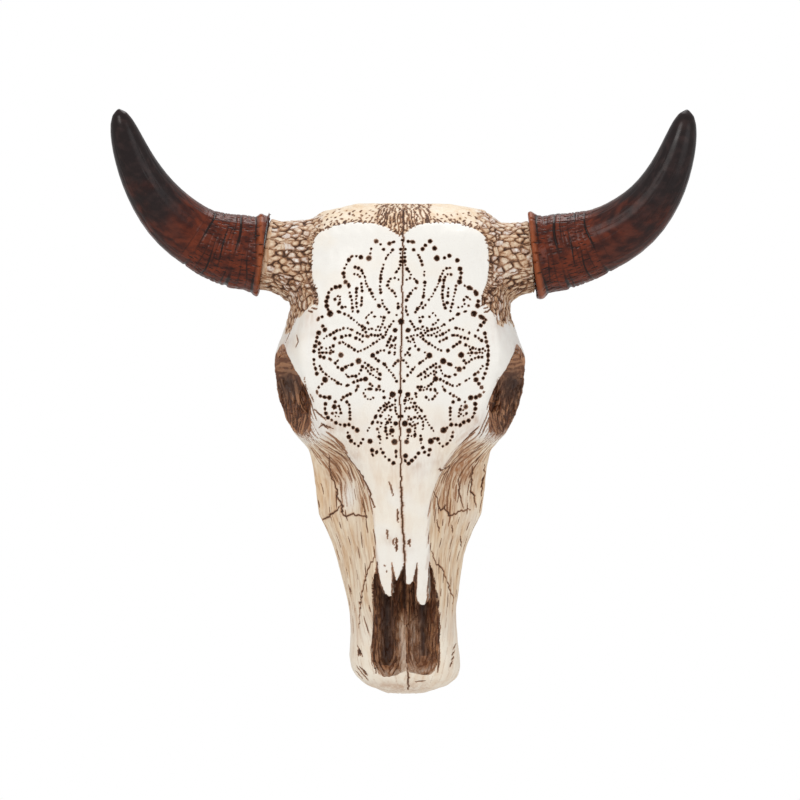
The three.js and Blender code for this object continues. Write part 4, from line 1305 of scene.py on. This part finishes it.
# %% Keep inside the box and shade
CRISP_ANGLE = 58
for piece in (*bone_pieces.values(), *horns):
    place_points(piece, np.clip(read_vectors(piece), np.array(cad_box[0]), np.array(cad_box[1])))
    alone(piece)
    bpy.ops.object.shade_smooth_by_angle(angle=math.radians(CRISP_ANGLE))
    print(piece.name, triangles(piece), sorted(a.name for a in piece.data.attributes if not a.is_internal))

# %% [markdown]
# Paint. All bone shares one recipe, kept as a node group: an ivory coat, cream over the gouged and the lower
# parts, brown stain in streaks, which also carries painted shade beside the cuts, umber in the hollows,
# painted shade in the middle of the eye sockets and in the nasal troughs, and a dark wash that stays in every
# cut. The carving stored how much of each lies where; the group adds the unevenness of a brush.

# %% Helpers to build node trees
MIX_A, MIX_B, MIX_RESULT = 6, 7, 2


def shade(red, green, blue):
    """A colour as seen on screen, 0 to 255, as the linear colour a shader wants."""
    parts = [v / 255 for v in (red, green, blue)]
    return (*[p / 12.92 if p <= 0.04045 else ((p + 0.055) / 1.055) ** 2.4 for p in parts], 1.0)


class Nodes:
    """Adds nodes to a tree: values are set, outputs of other nodes are linked."""

    def __init__(self, tree):
        self.tree = tree

    def feed(self, socket, value):
        if isinstance(value, bpy.types.NodeSocket):
            self.tree.links.new(value, socket)
        else:
            socket.default_value = value

    def add(self, kind, inputs=None, **settings):
        node = self.tree.nodes.new(kind)
        for key, value in settings.items():
            setattr(node, key, value)
        for key, value in (inputs or {}).items():
            self.feed(node.inputs[key], value)
        return node

    def mix(self, share, a, b):
        node = self.add("ShaderNodeMix", {0: share, MIX_A: a, MIX_B: b}, data_type="RGBA")
        return node.outputs[MIX_RESULT]

    def maths(self, operation, a, b):
        return self.add("ShaderNodeMath", {0: a, 1: b}, operation=operation).outputs[0]

    def span(self, value, low, high, to_low=0.0, to_high=1.0):
        ends = {"Value": value, "From Min": low, "From Max": high, "To Min": to_low, "To Max": to_high}
        return self.add("ShaderNodeMapRange", ends, interpolation_type="SMOOTHSTEP").outputs["Result"]

    def place(self, stretch=None):
        """Coordinates on the object, drawn out where the stretch is below one."""
        place = self.add("ShaderNodeTexCoord").outputs["Object"]
        if stretch is None:
            return place
        return self.add("ShaderNodeMapping", {"Vector": place, "Scale": stretch}).outputs["Vector"]

    def noise(self, place, scale, detail=3.0):
        grain = {"Vector": place, "Scale": scale, "Detail": detail}
        return self.add("ShaderNodeTexNoise", grain).outputs["Fac"]

    def stored(self, name):
        return self.add("ShaderNodeAttribute", attribute_name=name).outputs["Fac"]


# %% [markdown]
# The recipe is laid on in the order of a painter's coats. Noise that is drawn out upright gives the streaks
# of a brush pulled down the face, and round noise gives patches. In the gouged crown every lump has its own
# tone. Wash comes last, over a rim of stain, since it bleeds a little.

# %% The group of painted bone
COLOURS = {
    "Ivory": shade(237, 234, 228),
    "Cream": shade(237, 222, 198),
    "Tan": shade(218, 184, 144),
    "Stain and shade": shade(162, 107, 64),
    "Umber": shade(116, 70, 42),
    "Umber ridge": shade(178, 128, 92),
    "Wash": shade(68, 40, 24),
    "Deep shade": shade(44, 24, 16),
}
OUTPUTS = {"Color": "NodeSocketColor", "Roughness": "NodeSocketFloat", "Height": "NodeSocketFloat"}
DRAWN_OUT = (1.0, 1.0, 0.12)

bone = bpy.data.node_groups.new("Painted bone", "ShaderNodeTree")
for name, colour in COLOURS.items():
    bone.interface.new_socket(name, in_out="INPUT", socket_type="NodeSocketColor").default_value = colour
for name, kind in OUTPUTS.items():
    bone.interface.new_socket(name, in_out="OUTPUT", socket_type=kind)
t = Nodes(bone)
paints = t.add("NodeGroupInput").outputs
patches = t.noise(t.place(), 38.0)
streaks = t.noise(t.place(DRAWN_OUT), 520.0, 4.0)
broad = t.noise(t.place(DRAWN_OUT), 170.0, 3.0)
grain = t.noise(t.place(), 1400.0, 2.0)
wash, stain, cream, umber, dark, lump, gouged = (
    t.stored(name) for name in ("wash", "stain", "cream", "umber", "dark", "lump", "gouged")
)
ivory = t.mix(t.span(patches, 0.45, 0.8, 0.0, 0.35), paints["Ivory"], paints["Cream"])
lean = t.maths("ADD", t.span(streaks, 0.35, 0.7, 0.0, 0.3), t.span(broad, 0.38, 0.68, 0.0, 0.7))
weather = t.maths("MULTIPLY", lean, t.span(patches, 0.3, 0.6, 0.35, 1.0))
weathered = t.mix(weather, paints["Cream"], paints["Tan"])
bright_lumps = t.mix(t.span(lump, 0.55, 1.0), paints["Cream"], paints["Ivory"])
lumps = t.mix(t.span(lump, 0.0, 0.5, 0.45, 0.0), bright_lumps, paints["Tan"])
colour = t.mix(cream, ivory, t.mix(gouged, weathered, lumps))
# The stain layer also holds painted shade beside the cuts, so both turn towards the same brown here.
stained = t.maths("MULTIPLY", stain, t.span(streaks, 0.25, 0.65, 0.35, 1.0))
colour = t.mix(stained, colour, paints["Stain and shade"])
uneven_wash = t.maths("ADD", wash, t.span(grain, 0.3, 0.7, -0.12, 0.12))
colour = t.mix(t.span(uneven_wash, 0.05, 0.45, 0.0, 0.8), colour, paints["Stain and shade"])
ridges = t.maths("ADD", t.maths("MULTIPLY", streaks, 0.55), t.maths("MULTIPLY", lump, 0.45))
hollow_paint = t.mix(t.span(ridges, 0.34, 0.66), paints["Umber"], paints["Umber ridge"])
# Painted shade: where dark is set, in the middle of each eye socket and in the nasal troughs, the hollow
# paint turns near-black.
colour = t.mix(umber, colour, t.mix(dark, hollow_paint, paints["Deep shade"]))
colour = t.mix(t.span(uneven_wash, 0.25, 0.95), colour, paints["Wash"])
rough = t.maths("ADD", t.span(patches, 0.3, 0.7, 0.36, 0.46), t.span(wash, 0.1, 0.9, 0.0, 0.2))
rough = t.maths("ADD", rough, t.maths("MULTIPLY", cream, 0.12))
height = t.maths("ADD", t.maths("MULTIPLY", streaks, 0.6), t.maths("MULTIPLY", grain, 0.25))
t.add("NodeGroupOutput", {"Color": colour, "Roughness": rough, "Height": height})
print("nodes in the recipe:", len(bone.nodes))

# %% [markdown]
# Each piece of bone has its own material with the shared recipe inside. They differ in how rough the brush
# marks stand, and the ivory's wash is a little lighter, because it is wiped. The gloss stays on the shader.

# %% Materials of the bone pieces
BRUSH_HEIGHT = 0.12 * MM
BONE_GLOSS = 0.4
PIT_WASH = shade(78, 47, 27)


def bone_material(name, brush, **changes):
    """Painted bone with its own colours where a piece differs."""
    material, shader = new_material(name)
    t = Nodes(material.node_tree)
    recipe = t.add("ShaderNodeGroup", node_tree=bone)
    for key, value in changes.items():
        recipe.inputs[key].default_value = value
    relief = {"Strength": brush, "Distance": BRUSH_HEIGHT, "Height": recipe.outputs["Height"]}
    t.feed(shader.inputs["Base Color"], recipe.outputs["Color"])
    t.feed(shader.inputs["Roughness"], recipe.outputs["Roughness"])
    t.feed(shader.inputs["Normal"], t.add("ShaderNodeBump", relief).outputs["Normal"])
    shader.inputs["Specular IOR Level"].default_value = BONE_GLOSS
    return material


LOOKS = {
    "plate": bone_material("painted_ivory", 0.25, Wash=PIT_WASH),
    "crown": bone_material("painted_crown", 0.5),
    "brow": bone_material("painted_brow", 0.35),
    "jaw": bone_material("painted_jaw", 0.4),
    "muzzle": bone_material("painted_muzzle", 0.3),
}
print("bone materials:", [look.name for look in LOOKS.values()])

# %% [markdown]
# Real horn darkens and turns glossy towards the tip. Here fibres are noise drawn out along the horn, the red
# base gives way to black by how far along a point lies, and the bead at the base is painted lighter.

# %% The horns' material
HORN_FIBRES = (0.25, 1.0, 0.4)
HORN_BRUSH = 0.2
HORN_GLOSS = 0.2
horn_look, shader = new_material("painted_horn")
t = Nodes(horn_look.node_tree)
along, wash, lip = t.stored("along"), t.stored("wash"), t.stored("lip")
patches = t.noise(t.place(), 45.0)
fibres = t.noise(t.place(HORN_FIBRES), 420.0, 4.0)
base = t.mix(t.span(fibres, 0.3, 0.7), shade(58, 20, 11), shade(106, 44, 22))
base = t.mix(t.maths("MULTIPLY", lip, 0.8), base, shade(152, 80, 46))
tip = t.mix(t.span(fibres, 0.4, 0.75, 0.0, 0.5), shade(30, 21, 21), shade(60, 43, 41))
toward = t.span(t.maths("ADD", along, t.span(patches, 0.3, 0.7, -0.12, 0.12)), 0.2, 0.7)
colour = t.mix(t.span(wash, 0.1, 0.75, 0.0, 0.95), t.mix(toward, base, tip), shade(24, 11, 8))
relief = t.add("ShaderNodeBump", {"Strength": HORN_BRUSH, "Distance": BRUSH_HEIGHT, "Height": fibres})
shader.inputs["Specular IOR Level"].default_value = HORN_GLOSS
t.feed(shader.inputs["Base Color"], colour)
t.feed(shader.inputs["Roughness"], t.span(patches, 0.3, 0.7, 0.24, 0.36))
t.feed(shader.inputs["Normal"], relief.outputs["Normal"])
print("nodes of the horn:", len(horn_look.node_tree.nodes))

# %% [markdown]
# The hanging bar in the back is plain drawn steel. It stays the CAD's own node and only gets a better
# material: fine lines along the bar, which vary the colour and the roughness.

# %% Steel of the hanging bar
DRAWN_LINES = (0.08, 1.0, 1.0)
steel_look, shader = new_material("drawn_steel")
t = Nodes(steel_look.node_tree)
lines = t.noise(t.place(DRAWN_LINES), 2600.0, 2.0)
shader.inputs["Metallic"].default_value = 1.0
t.feed(shader.inputs["Base Color"], t.mix(lines, shade(150, 148, 144), shade(196, 195, 192)))
t.feed(shader.inputs["Roughness"], t.span(lines, 0.3, 0.7, 0.28, 0.5))
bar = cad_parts["hanging_bar"]
bar.data.materials.clear()
bar.data.materials.append(steel_look)
print("bar:", bar.name)

# %% [markdown]
# Every piece rides the part's one body and takes the place of its CAD nodes, which are hidden.

# %% Hand the pieces to the part
STANDS_FOR = [
    (plate, LOOKS["plate"], "ivory", ["forehead_plate", "nasal_bones"]),
    (bone_pieces["crown"], LOOKS["crown"], "carved_bone", ["horn_core_left", "horn_core_right"]),
    (bone_pieces["brow"], LOOKS["brow"], "bone", ["cranium", "eye_socket_left", "eye_socket_right"]),
    (bone_pieces["jaw"], LOOKS["jaw"], "bone", ["upper_jaw", "nasal_floor"]),
    (bone_pieces["muzzle"], LOOKS["muzzle"], "ivory", ["muzzle_tip"]),
    (horns[0], horn_look, "horn", ["horn_left"]),
    (horns[1], horn_look, "horn", ["horn_right"]),
]
for piece, look, slot, nodes in STANDS_FOR:
    piece.data.materials.clear()
    piece.data.materials.append(look)
    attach(piece, "root")
    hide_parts(*nodes)
    print(piece.name, "stands for", nodes)
